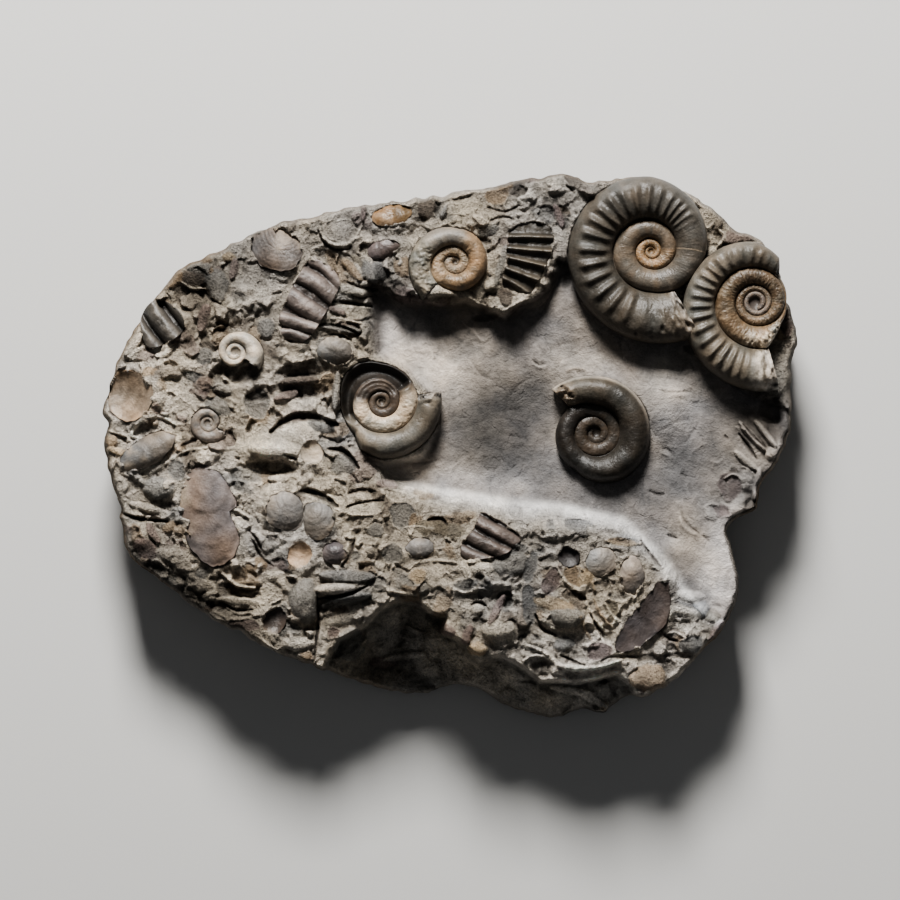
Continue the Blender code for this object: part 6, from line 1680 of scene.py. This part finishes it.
def broken_detail(strip, height, tint, grit):
    """The open hollow of the broken whorl, a ridged inner one, and a rough end."""
    coil, degrees, share = strip.coil, strip.degrees, strip.share
    hollow = rise_over(degrees, 26.0, 14.0) * fall_over(degrees, 222.0, 22.0)
    hollow = hollow * np.sin(math.pi * share ** 0.8) ** 0.8
    height = height - hollow * (height - coil.level + 1.2)
    inside = rise_over(degrees, -340.0, 30.0) * fall_over(degrees, -180.0, 12.0)
    height = height - 0.9 * inside * np.sin(math.pi * share)
    height = height + 0.14 * inside * np.sin(2.0 * math.pi * share * 1.5) ** 2
    mottle = fall_over(degrees, 30.0, 30.0) * rise_over(degrees, -180.0, 20.0)
    height = height + 0.14 * mottle * grit
    tint = tint * (1.0 - 0.18 * mottle * np.clip(grit, -0.6, 1.0))[..., None]
    ends = rise_over(degrees, 352.0, 8.0)
    height = height + 0.5 * ends * grit
    return height, tint * (1.0 - 0.35 * (ends * np.clip(grit, 0.0, 1.0))[..., None])


def tan_detail(strip, height, tint, grit, blotch):
    """The granular filling of the last chamber, and mottled whorls before it."""
    degrees, share = strip.degrees, strip.share
    filled = rise_over(degrees, 146.0, 10.0) * rise_over(share, 0.05, 0.1)
    height = height + filled * (0.38 * grit - 0.35)
    tint = tint * (1.0 + 0.20 * filled * grit)[..., None]
    mottle = fall_over(degrees, 80.0, 30.0)
    tint = tint * (1.0 + mottle * (0.14 * grit + 0.22 * blotch))[..., None]
    return height + 0.10 * mottle * grit, tint


def smooth_detail(strip, height, tint, grit):
    """A worn, rusty end that drops away, and a pale outer rim on the last stretch, a painted
    highlight where it faces the lamp.
    """
    coil, degrees, share = strip.coil, strip.degrees, strip.share
    end = coil.spiral[-1][0]
    fray = smooth_step((degrees - end + 22.0 - 7.0 * grit) / 9.0)
    drop = smooth_step((degrees - end + 13.0 - 5.0 * grit) / 13.0)
    height = height - 0.65 * drop * (height - coil.level - 0.6) + 0.22 * fray * grit
    tint = mixed(tint, 0.8 * fray * np.clip(0.75 + 0.5 * grit, 0.0, 1.0), RUST)
    # Painted highlight along the outer rim, on the side that faces the lamp
    rim = rise_over(share, 0.86, 0.10) * rise_over(degrees, 330.0, 60.0)
    return height, mixed(tint, 0.4 * rim, PALE_ROCK)


def coil_detail(strip, height, tint, rng):
    """Broken and filled stretches, growth lines and the like of each coil."""
    coil, degrees, share, width = strip
    end = coil.spiral[-1][0]
    grit = fractal_cloud(share.shape, 3.5, 3, rng)
    if coil.infill:
        filled = rise_over(degrees, end - coil.infill, 5.0)
        height = height + filled * (0.85 * grit * (share < 0.97) - 0.6)
        ends = (filled * (0.35 + 0.25 * np.clip(grit, -1.0, 1.0)))[..., None]
        tint = tint * (1.0 - filled[..., None]) + np.array(ROCK) * 1.3 * ends
    if coil.name == "ammonite_large":
        height, tint = large_detail(strip, height, tint, grit)
    if coil.name == "ammonite_right":
        height, tint = right_detail(strip, height, tint, grit)
    if coil.name == "ammonite_broken":
        height, tint = broken_detail(strip, height, tint, grit)
    if coil.name == "ammonite_tan":
        blotch = fractal_cloud(share.shape, 12.0, 3, rng)
        height, tint = tan_detail(strip, height, tint, grit, blotch)
    if coil.name == "ammonite_smooth":
        height, tint = smooth_detail(strip, height, tint, grit)
    growth = np.sin(np.radians(degrees * 90.0)) * np.sin(math.pi * share)
    height = height + WHORL_LINES * np.clip(width, 0.0, 1.0) * growth
    blotch = fractal_cloud(share.shape, 14.0, 3, rng)[..., None]
    tint = tint * (1.0 + blotch * np.array(WHORL_SHIFT))
    return height, tint


def join_coil(coil, points, colours, last):
    """The faces of a coil's strip, its cap, its outer wall and its foot."""
    steps = coil.steps
    count = COIL_ACROSS
    first = last + 1
    centre = len(points) - 1
    row = np.arange(last - steps)
    middle = first + row[:, None] * count + np.arange(count)[None, :]
    here = np.column_stack([row, middle, row + steps])
    there = np.column_stack([row + 1, middle + count, row + 1 + steps])
    quads = np.stack([here[:, :-1], here[:, 1:], there[:, 1:], there[:, :-1]], axis=-1)
    faces = list(quads.reshape(-1, 4))
    faces += [(centre, index, index + 1) for index in range(steps - 1)]
    begin = [0] + list(range(first, first + count)) + [steps]
    faces.append((centre, steps - 1, begin[1], begin[0]))
    faces += [(begin[k], steps - 1, begin[k + 1]) for k in range(1, count)]
    faces.append((begin[count], steps - 1, steps))
    final = first + (last - steps) * count
    edge = list(range(last - steps, last)) + [last] + list(range(final, final + count))[::-1]
    loop = points[edge]
    rings = [points]
    shades = [colours]
    total = len(points)
    upper = np.array(edge)
    across = loop[:, :2] - np.array(coil.place)
    away = np.maximum(np.linalg.norm(across, axis=1), 20.0)
    foot = coil.level - coil.sunk
    for level in np.linspace(0.0, 1.0, FOOT_RINGS + 1)[1:]:
        inset = COIL_FOOT_INSET * (1.0 - math.cos(level * math.pi / 2.0))
        ring = np.array(coil.place) + across * (1.0 - inset / away)[:, None]
        rings.append(np.column_stack([ring, loop[:, 2] + (foot - loop[:, 2]) * level]))
        shades.append(colours[edge])
        lower = np.arange(len(edge)) + total
        total += len(edge)
        faces += list(np.column_stack([upper, np.roll(upper, -1), np.roll(lower, -1), lower]))
        upper = lower
    faces.append(upper)
    item = mesh_from(coil.name + "_shell", to_metres(np.vstack(rings)), faces)
    close_mesh(item)
    paint(item, np.vstack(shades))
    return item


def fitted_plane(relief, outline, stand):
    """The tilted plane of a fossil's edge: that of the rock around it, and a little above."""
    heights = relief.sample(relief.plain, outline[:, 0], outline[:, 1])
    heights = np.maximum(heights, np.median(heights) - STEEPEST_DROP)
    terms = np.column_stack([outline, np.ones(len(outline))])
    slope_x, slope_y, level = np.linalg.lstsq(terms, heights, rcond=None)[0]
    return lambda x, y: slope_x * x + slope_y * y + level + stand


def oval_points(place, size, turn, angles, grow):
    """Points of a turned oval at the given angles, with its size scaled."""
    angle = math.radians(turn)
    along = size[0] / 2.0 * grow * np.cos(angles)
    aside = size[1] / 2.0 * grow * np.sin(angles)
    x = place[0] + along * math.cos(angle) - aside * math.sin(angle)
    y = place[1] - along * math.sin(angle) - aside * math.cos(angle)
    return np.column_stack([x, y])


def edge_wave(around, phase, depth, count, shift):
    """How far one wave cuts into a shell's edge, as a share of its radius."""
    return depth * (1.0 + np.sin(count * around + shift * phase))


def uneven_edge(shell, around):
    """Where the shell's broken edge lies, as a share of its oval, at angles round it."""
    phase = 0.1 * (shell.place[0] + shell.place[1])
    if shell.name in SHELL_EDGES:
        edge = np.array(SHELL_EDGES[shell.name], dtype=float)
        along, aside = oval_frame(edge[:, 0], edge[:, 1], shell.place, shell.turn)
        along, aside = 2.0 * along / shell.size[0], 2.0 * aside / shell.size[1]
        share = np.interp(around, np.arctan2(aside, along), np.hypot(along, aside),
                          period=2.0 * math.pi)
        return share - edge_wave(around, phase, *EDGE_WAVES[-1])
    beak = around - math.radians(shell.umbo - shell.turn)
    pointed = 0.08 * np.clip(np.cos(beak), 0.0, 1.0) * np.sin(beak) ** 2
    edge = 1.045 - pointed
    for wave in EDGE_WAVES:
        edge = edge - edge_wave(around, phase, *wave)
    return edge


def shell_surface(shell, plane, relief):
    """Height and colour of a bivalve shell: a dome, or a dish when its rise is negative."""
    beak = np.array(shell.place) + 0.42 * min(shell.size) * np.array(
        [math.cos(math.radians(shell.umbo)), -math.sin(math.radians(shell.umbo))])
    reach = 0.9 * max(shell.size)

    def height(x, y):
        radius = np.clip(oval_radius(x, y, shell.place, shell.size, shell.turn), 0.0, 1.0)
        across = (x - shell.place[0]) / shell.size[0]
        up = (shell.place[1] - y) / shell.size[1]
        growth = np.hypot(x - beak[0], y - beak[1]) / reach
        bulge = shell.rise * SHELL_FLATNESS * (1.0 - radius ** 2.2) ** 0.75
        bulge = bulge * (1.25 - 0.5 * np.clip(growth, 0.0, 1.0))
        lines = np.abs(np.sin(math.pi * shell.bands * growth ** 0.8)) ** 0.5 - 0.6
        bulge = bulge + SHELL_LINES * lines * (radius < 0.97)
        bulge = bulge + SHELL_WEAR * relief.sample(relief.wear, x, y)
        return plane(x, y) + bulge - shell.lean[0] * across + shell.lean[1] * up

    def tint(x, y):
        growth = np.hypot(x - beak[0], y - beak[1]) / reach
        lines = np.sin(math.pi * shell.bands * growth ** 0.8) ** 2
        fine = np.sin(math.pi * shell.bands * 3.7 * growth)
        strong = min(shell.bands / 12.0, 1.0)
        wear = relief.sample(relief.wear, x, y)
        tone = 0.94 + 0.52 * strong * (lines - 0.5) + 0.08 * fine + 0.28 * wear
        warm = relief.sample(relief.wear, 0.45 * x + 300.0, 0.45 * y + 200.0)[..., None]
        side = np.cos(np.arctan2(shell.place[1] - y, x - shell.place[0])
                      - math.radians(shell.buried))
        radius = oval_radius(x, y, shell.place, shell.size, shell.turn)
        dust = np.clip(0.9 * side * radius + 0.6 * wear - 0.35, 0.0, 0.8)
        colour = np.array(shell.tint) * (1.0 + warm * np.array(SHELL_SHIFT))
        return mixed(colour * tone[..., None], dust, SHELL_DUST)
    return height, tint


def make_disc(name, rings, height, tint, plane, rng):
    """A closed solid from rings of points, widest last, with a plain foot in the rock."""
    sides = len(rings[0])
    middle = rings[0].mean(axis=0, keepdims=True)
    flat = np.vstack([middle] + rings)
    level = height(flat[:, 0], flat[:, 1])
    noise = rng.normal(0.0, 0.03, len(flat))
    points = [np.column_stack([flat, level + noise])]
    colours = [tint(flat[:, 0], flat[:, 1])]
    rim = rings[-1]
    centre = rim.mean(axis=0)
    upper = 1 + np.arange(sides)
    faces = list(np.column_stack([np.zeros(sides, dtype=int), upper, np.roll(upper, -1)]))

    def close_band(upper, lower):
        faces.extend(np.column_stack([upper, lower, np.roll(lower, -1), np.roll(upper, -1)]))
        return lower

    for _ in rings[1:]:
        upper = close_band(upper, upper + sides)
    for drop, shrink in ((FOSSIL_WALL, 1.0), (FOSSIL_SUNK, FOOT_SHARE)):
        ring = centre + (rim - centre) * shrink
        low = np.minimum(level[-sides:], plane(rim[:, 0], rim[:, 1])) - drop
        points.append(np.column_stack([ring, low]))
        colours.append(tint(ring[:, 0], ring[:, 1]) * FOOT_TONE)
        upper = close_band(upper, upper + sides)
    faces.append(upper)
    item = mesh_from(name, to_metres(np.vstack(points)), faces)
    close_mesh(item)
    paint(item, np.vstack(colours))
    return item


def make_shell(shell, relief, rng):
    """One bivalve shell, and the rock lowered below it and banked up around it."""
    angles = np.linspace(0.0, 2.0 * math.pi, SHELL_SIDES, endpoint=False)
    outline = oval_points(shell.place, shell.size, shell.turn, angles, 1.0)
    plane = fitted_plane(relief, outline, shell.stand)
    height, tint = shell_surface(shell, plane, relief)
    edge = uneven_edge(shell, angles)
    rings = [oval_points(shell.place, shell.size, shell.turn, angles, edge * share)
             for share in np.sin(np.linspace(0.0, 0.5, SHELL_RINGS + 1)[1:] * math.pi)]
    item = make_disc(shell.name + "_fine", rings, height, tint, plane, rng)
    window = relief.window(shell.place, max(shell.size) * 0.5 + BANK_REACH)
    x = relief.x[window]
    y = relief.y[window]
    along, aside = oval_frame(x, y, shell.place, shell.turn)
    around = np.arctan2(aside / shell.size[1], along / shell.size[0])
    radius = oval_radius(x, y, shell.place, shell.size, shell.turn) / uneven_edge(shell, around)
    lap = fractal_cloud(x.shape, 7.0, 3, rng)
    facing = np.degrees(np.arctan2(shell.place[1] - y, x - shell.place[0]))
    side = np.cos(np.radians(facing - shell.buried))
    cover = (LAP_UNEVEN * lap + LAP_SIDE * side * radius - LAP_FALL * (1.0 - radius)
             - LAP_FREE)
    level = height(x, y)
    relief.bury(window, radius < 1.0, level, cover)
    outward = np.where(radius < 1.0, -1.0, (1.0 - 1.0 / np.maximum(radius, 1.0))
                       * np.hypot(along, aside))
    relief.bank(window, outward, level + 0.7 * lap + 0.7 * side - 0.1)
    return item


def piece_surface(piece, plane, relief):
    """Height and colour of a ribbed piece of whorl: a low crown crossed by its ribs."""
    outline = np.array(piece.outline, dtype=float)
    middle = outline.mean(axis=0)
    reach = np.linalg.norm(outline - middle, axis=1).mean()
    paths = [(even_points(curve_through(points, False), RIB_SPACING, False), width)
             for points, width in piece.ribs]

    def ribs(x, y):
        total = np.zeros(np.shape(x))
        for points, width in paths:
            away = path_distance(x, y, points, False)[0]
            away = np.abs(away + 0.09 * width * relief.sample(relief.wear, x, y))
            if piece.profile == "tube":
                bump = np.clip(1.0 - (away / width) ** 2, 0.0, 1.0) ** 0.6
            else:
                bump = np.exp(-(away / width) ** 2)
            total = np.maximum(total, bump)
        return total

    def height(x, y):
        crown = 1.0 - np.clip(np.hypot(x - middle[0], y - middle[1]) / reach, 0.0, 1.2) ** 2
        worn = PIECE_WEAR * relief.sample(relief.wear, x, y)
        return plane(x, y) + piece.rise * crown + piece.depth * (ribs(x, y) - 0.45) + worn

    def tint(x, y):
        crest = ribs(x, y)
        if piece.profile == "thin":
            share = crest ** 2.5
        else:
            share = np.clip(1.5 * crest, 0.0, 1.0) ** 1.5
        tone = 1.0 + PIECE_MOTTLE * relief.sample(relief.wear, x, y)[..., None]
        # Darker groove colour between the ribs: the piece's darker ground, with painted shade in
        # the creases
        return mixed(np.array(piece.groove), share, piece.tint) * tone
    return height, tint


def make_piece(piece, relief, rng):
    """One ribbed piece of a whorl, and the rock lowered below it."""
    outline = smooth_loop(piece.outline, PIECE_OUTLINE_SPACING)
    plane = fitted_plane(relief, outline, piece.stand)
    height, tint = piece_surface(piece, plane, relief)
    middle = outline.mean(axis=0)
    rings = [middle + (outline - middle) * share
             for share in np.linspace(0.0, 1.0, PIECE_RINGS + 1)[1:]]
    item = make_disc(piece.name + "_fine", rings, height, tint, plane, rng)
    size = np.ptp(outline, axis=0).max()
    window = relief.window(middle, size * 0.7)
    x = relief.x[window]
    y = relief.y[window]
    inward = signed_distance(x, y, outline)
    lap = fractal_cloud(x.shape, 6.0, 2, rng)
    cover = PIECE_LAP_UNEVEN * lap + PIECE_LAP_RISE - PIECE_LAP_FALL * inward
    relief.bury(window, inward > 0.0, height(x, y), cover)
    relief.bank(window, -inward, plane(x, y) + 0.8 * lap - 0.2)
    return item


def sink_rock_below(coil, relief, rng):
    """Lowers the rock inside a coil's edge, and lets it lap unevenly at that edge."""
    window = relief.window(coil.place, coil_radius(coil, coil.spiral[-1][0]) * 1.15)
    x = relief.x[window]
    y = relief.y[window]
    share = coil_edge(coil, x, y)
    lap = fractal_cloud(x.shape, 7.0, 2, rng)
    ceiling = (coil.level - coil.inlay - SOCKET_DROP + SOCKET_UNEVEN * lap
               - SOCKET_FALL * (1.0 - share))
    relief.limit(window, share < 1.0, ceiling)


def node(tree, kind, **values):
    """A shader node with its properties set."""
    made = tree.nodes.new(kind)
    for key, value in values.items():
        setattr(made, key, value)
    return made


def spread(tree, source, low, high, start, stop):
    """Maps a value's stretch from start to stop to the range from low to high."""
    made = node(tree, "ShaderNodeMapRange")
    made.inputs["From Min"].default_value = start
    made.inputs["From Max"].default_value = stop
    made.inputs["To Min"].default_value = low
    made.inputs["To Max"].default_value = high
    tree.links.new(source, made.inputs["Value"])
    return made.outputs["Result"]


def noise_of(tree, place, scale, detail, roughness=0.62, output="Fac"):
    """Noise at a place, as a value or as a colour."""
    made = node(tree, "ShaderNodeTexNoise")
    made.inputs["Scale"].default_value = scale
    made.inputs["Detail"].default_value = detail
    made.inputs["Roughness"].default_value = roughness
    tree.links.new(place, made.inputs["Vector"])
    return made.outputs[output]


def times(tree, first, second):
    """The product of two values."""
    made = node(tree, "ShaderNodeMath", operation="MULTIPLY")
    tree.links.new(first, made.inputs[0])
    tree.links.new(second, made.inputs[1])
    return made.outputs["Value"]


def eased(tree, value, share):
    """A factor brought nearer to one, where the share is below one."""
    away = node(tree, "ShaderNodeMath", operation="SUBTRACT")
    tree.links.new(value, away.inputs[0])
    away.inputs[1].default_value = 1.0
    made = node(tree, "ShaderNodeMath", operation="MULTIPLY_ADD")
    tree.links.new(away.outputs["Value"], made.inputs[0])
    tree.links.new(share, made.inputs[1])
    made.inputs[2].default_value = 1.0
    return made.outputs["Value"]


def scaled_colour(tree, colour, factor):
    """A colour made lighter or darker by a value."""
    made = node(tree, "ShaderNodeVectorMath", operation="SCALE")
    tree.links.new(colour, made.inputs[0])
    tree.links.new(factor, made.inputs["Scale"])
    return made.outputs["Vector"]


def raised(tree, height, strength, distance, below=None):
    """Fine relief on the surface from a height value, over any relief given before it."""
    made = node(tree, "ShaderNodeBump")
    made.inputs["Strength"].default_value = strength
    made.inputs["Distance"].default_value = distance
    tree.links.new(height, made.inputs["Height"])
    if below is not None:
        tree.links.new(below, made.inputs["Normal"])
    return made.outputs["Normal"]


def painted_material(name):
    """A material and its tree, shader, place on the piece and painted colour."""
    material = bpy.data.materials.new(name)
    material.use_nodes = True
    tree = material.node_tree
    place = node(tree, "ShaderNodeTexCoord").outputs["Object"]
    tint = node(tree, "ShaderNodeAttribute", attribute_name="tint")
    return material, tree, tree.nodes["Principled BSDF"], place, tint


def grain_material(name, roughness, speckle, specular, bump=0.5, scale=1500.0):
    """Principled surface in the painted colour, broken up by speckles and fine bumps."""
    material, tree, shader, place, tint = painted_material(name)
    fine = noise_of(tree, place, scale, 6.0)
    broad = noise_of(tree, place, scale * 0.12, 4.0)
    speckles = spread(tree, fine, 1.0 - speckle, 1.0 + speckle, 0.3, 0.7)
    patches = spread(tree, broad, 1.0 - speckle * 0.9, 1.0 + speckle * 0.9, 0.35, 0.65)
    colour = scaled_colour(tree, tint.outputs["Color"], times(tree, speckles, patches))
    tree.links.new(colour, shader.inputs["Base Color"])
    shine = spread(tree, broad, roughness - 0.1, roughness + 0.14, 0.3, 0.7)
    tree.links.new(shine, shader.inputs["Roughness"])
    shader.inputs["Specular IOR Level"].default_value = specular
    normal = raised(tree, fine, bump, 0.0003)
    normal = raised(tree, broad, bump * 0.8, 0.0012, normal)
    tree.links.new(normal, shader.inputs["Normal"])
    return material


def rock_material():
    """Dull broken limestone: gritty where rough, with fine worm-like lines on the clean floor."""
    material, tree, shader, place, tint = painted_material("rock")
    smooth = tint.outputs["Alpha"]
    # Sand, grit and patches, the first two fainter on the clean floor
    fine = noise_of(tree, place, 1500.0, 5.0)
    grit = noise_of(tree, place, 520.0, 8.0)
    patch = noise_of(tree, place, 140.0, 5.0)
    grainy = spread(tree, smooth, 1.0, 0.40, 0.2, 0.9)
    speckles = eased(tree, spread(tree, fine, 0.74, 1.26, 0.32, 0.68), grainy)
    blotches = eased(tree, spread(tree, grit, 0.80, 1.20, 0.35, 0.65), grainy)
    clouds = spread(tree, patch, 0.86, 1.14, 0.35, 0.65)
    # Worm-like grooves: the borders of bent cells, here and there on the clean floor
    bend = noise_of(tree, place, 55.0, 3.0, roughness=0.5, output="Color")
    shift = node(tree, "ShaderNodeVectorMath", operation="MULTIPLY_ADD")
    tree.links.new(bend, shift.inputs[0])
    shift.inputs[1].default_value = (0.030, 0.030, 0.0)
    tree.links.new(place, shift.inputs[2])
    lines = node(tree, "ShaderNodeTexVoronoi", feature="DISTANCE_TO_EDGE")
    lines.inputs["Scale"].default_value = 95.0
    tree.links.new(shift.outputs["Vector"], lines.inputs["Vector"])
    groove = spread(tree, lines.outputs["Distance"], 1.0, 0.0, 0.0, 0.05)
    groove = times(tree, groove, smooth)
    groove = times(tree, groove, spread(tree, patch, 0.0, 1.0, 0.50, 0.66))
    darker = spread(tree, groove, 1.0, 0.84, 0.0, 1.0)
    factor = times(tree, times(tree, speckles, blotches), times(tree, clouds, darker))
    colour = scaled_colour(tree, tint.outputs["Color"], factor)
    tree.links.new(colour, shader.inputs["Base Color"])
    shader.inputs["Roughness"].default_value = 0.9
    shader.inputs["Specular IOR Level"].default_value = 0.25
    # Relief of grit and sand, with the grooves cut into it
    keep = spread(tree, smooth, 1.0, 0.16, 0.2, 0.9)
    normal = raised(tree, times(tree, grit, keep), 1.0, 0.0030)
    normal = raised(tree, times(tree, fine, keep), 1.0, 0.0018, normal)
    cut = node(tree, "ShaderNodeMath", operation="SUBTRACT")
    cut.inputs[0].default_value = 1.0
    tree.links.new(groove, cut.inputs[1])
    normal = raised(tree, cut.outputs["Value"], 0.6, 0.0003, normal)
    tree.links.new(normal, shader.inputs["Normal"])
    return material


def place_piece(item, material, replaced, slot):
    """Gives a piece its material and its place in the frame."""
    item.data.materials.append(material)
    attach(item, "root")
    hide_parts(replaced)


def lamp(name, place, size, power, colour):
    """A soft square light aimed at the slab's middle."""
    data = bpy.data.lights.new(name, "AREA")
    data.shape = "SQUARE"
    data.size = size
    data.energy = power
    data.color = colour
    item = bpy.data.objects.new(name, data)
    item.location = place
    item.rotation_euler = item.location.to_track_quat("Z", "Y").to_euler()
    bpy.context.collection.objects.link(item)


def studio():
    """Pale floor, soft lights from the slab's top side, and the camera straight above."""
    bpy.ops.mesh.primitive_plane_add(size=FLOOR_SIZE, location=(0.0, 0.0, -FLOOR_DROP))
    floor = bpy.context.object
    floor.name = "floor"
    surface = bpy.data.materials.new("floor")
    surface.use_nodes = True
    shader = surface.node_tree.nodes["Principled BSDF"]
    shader.inputs["Base Color"].default_value = FLOOR_COLOUR
    shader.inputs["Roughness"].default_value = 0.9
    floor.data.materials.append(surface)
    for values in LAMPS:
        lamp(*values)
    world = bpy.data.worlds.new("studio")
    world.use_nodes = True
    background = world.node_tree.nodes["Background"]
    background.inputs["Color"].default_value = SKY_COLOUR
    background.inputs["Strength"].default_value = SKY
    bpy.context.scene.world = world
    bpy.context.scene.view_settings.look = "AgX - Medium High Contrast"
    lens = bpy.data.cameras.new("camera")
    camera = bpy.data.objects.new("camera", lens)
    lens.lens = lens.sensor_width * (CAMERA_HEIGHT - SCALE_HEIGHT) / (PHOTO_SIZE * PIXEL)
    lens.clip_end = CLIP_END
    centre = PHOTO_SIZE / 2.0
    camera.location = ((centre - MIDDLE[0]) * PIXEL, (MIDDLE[1] - centre) * PIXEL, CAMERA_HEIGHT)
    bpy.context.collection.objects.link(camera)
    bpy.context.scene.camera = camera


def build():
    """Makes every visible piece."""
    relief = Relief(ragged_outline(np.random.default_rng(OUTLINE_SEED)))
    scatter_flakes(relief, np.random.default_rng(FLAKE_SEED))
    add_details(relief, np.random.default_rng(DETAIL_SEED))
    scratch_floor(relief, np.random.default_rng(SCRATCH_SEED))
    finish_relief(relief, np.random.default_rng(FINISH_SEED))
    rng = np.random.default_rng(FOSSIL_SEED)
    smooth = {gloss: grain_material("shell_%d" % round(gloss * 100), gloss, speckle=0.17,
                                    specular=0.4)
              for gloss in sorted({shell.gloss for shell in SHELLS})}
    horn = grain_material("horn", 0.44, speckle=0.24, specular=0.45)
    for coil in COILS:
        sink_rock_below(coil, relief, rng)
        place_piece(make_coil(coil, rng), horn, coil.name, coil.slot)
    for shell in SHELLS:
        place_piece(make_shell(shell, relief, rng), smooth[shell.gloss], shell.name, shell.slot)
    for piece in PIECES:
        place_piece(make_piece(piece, relief, rng), horn, piece.name, piece.slot)
    rock = make_rock(relief, np.random.default_rng(SIDE_SEED))
    place_piece(rock, rock_material(), "matrix", "matrix")
    studio()


build()
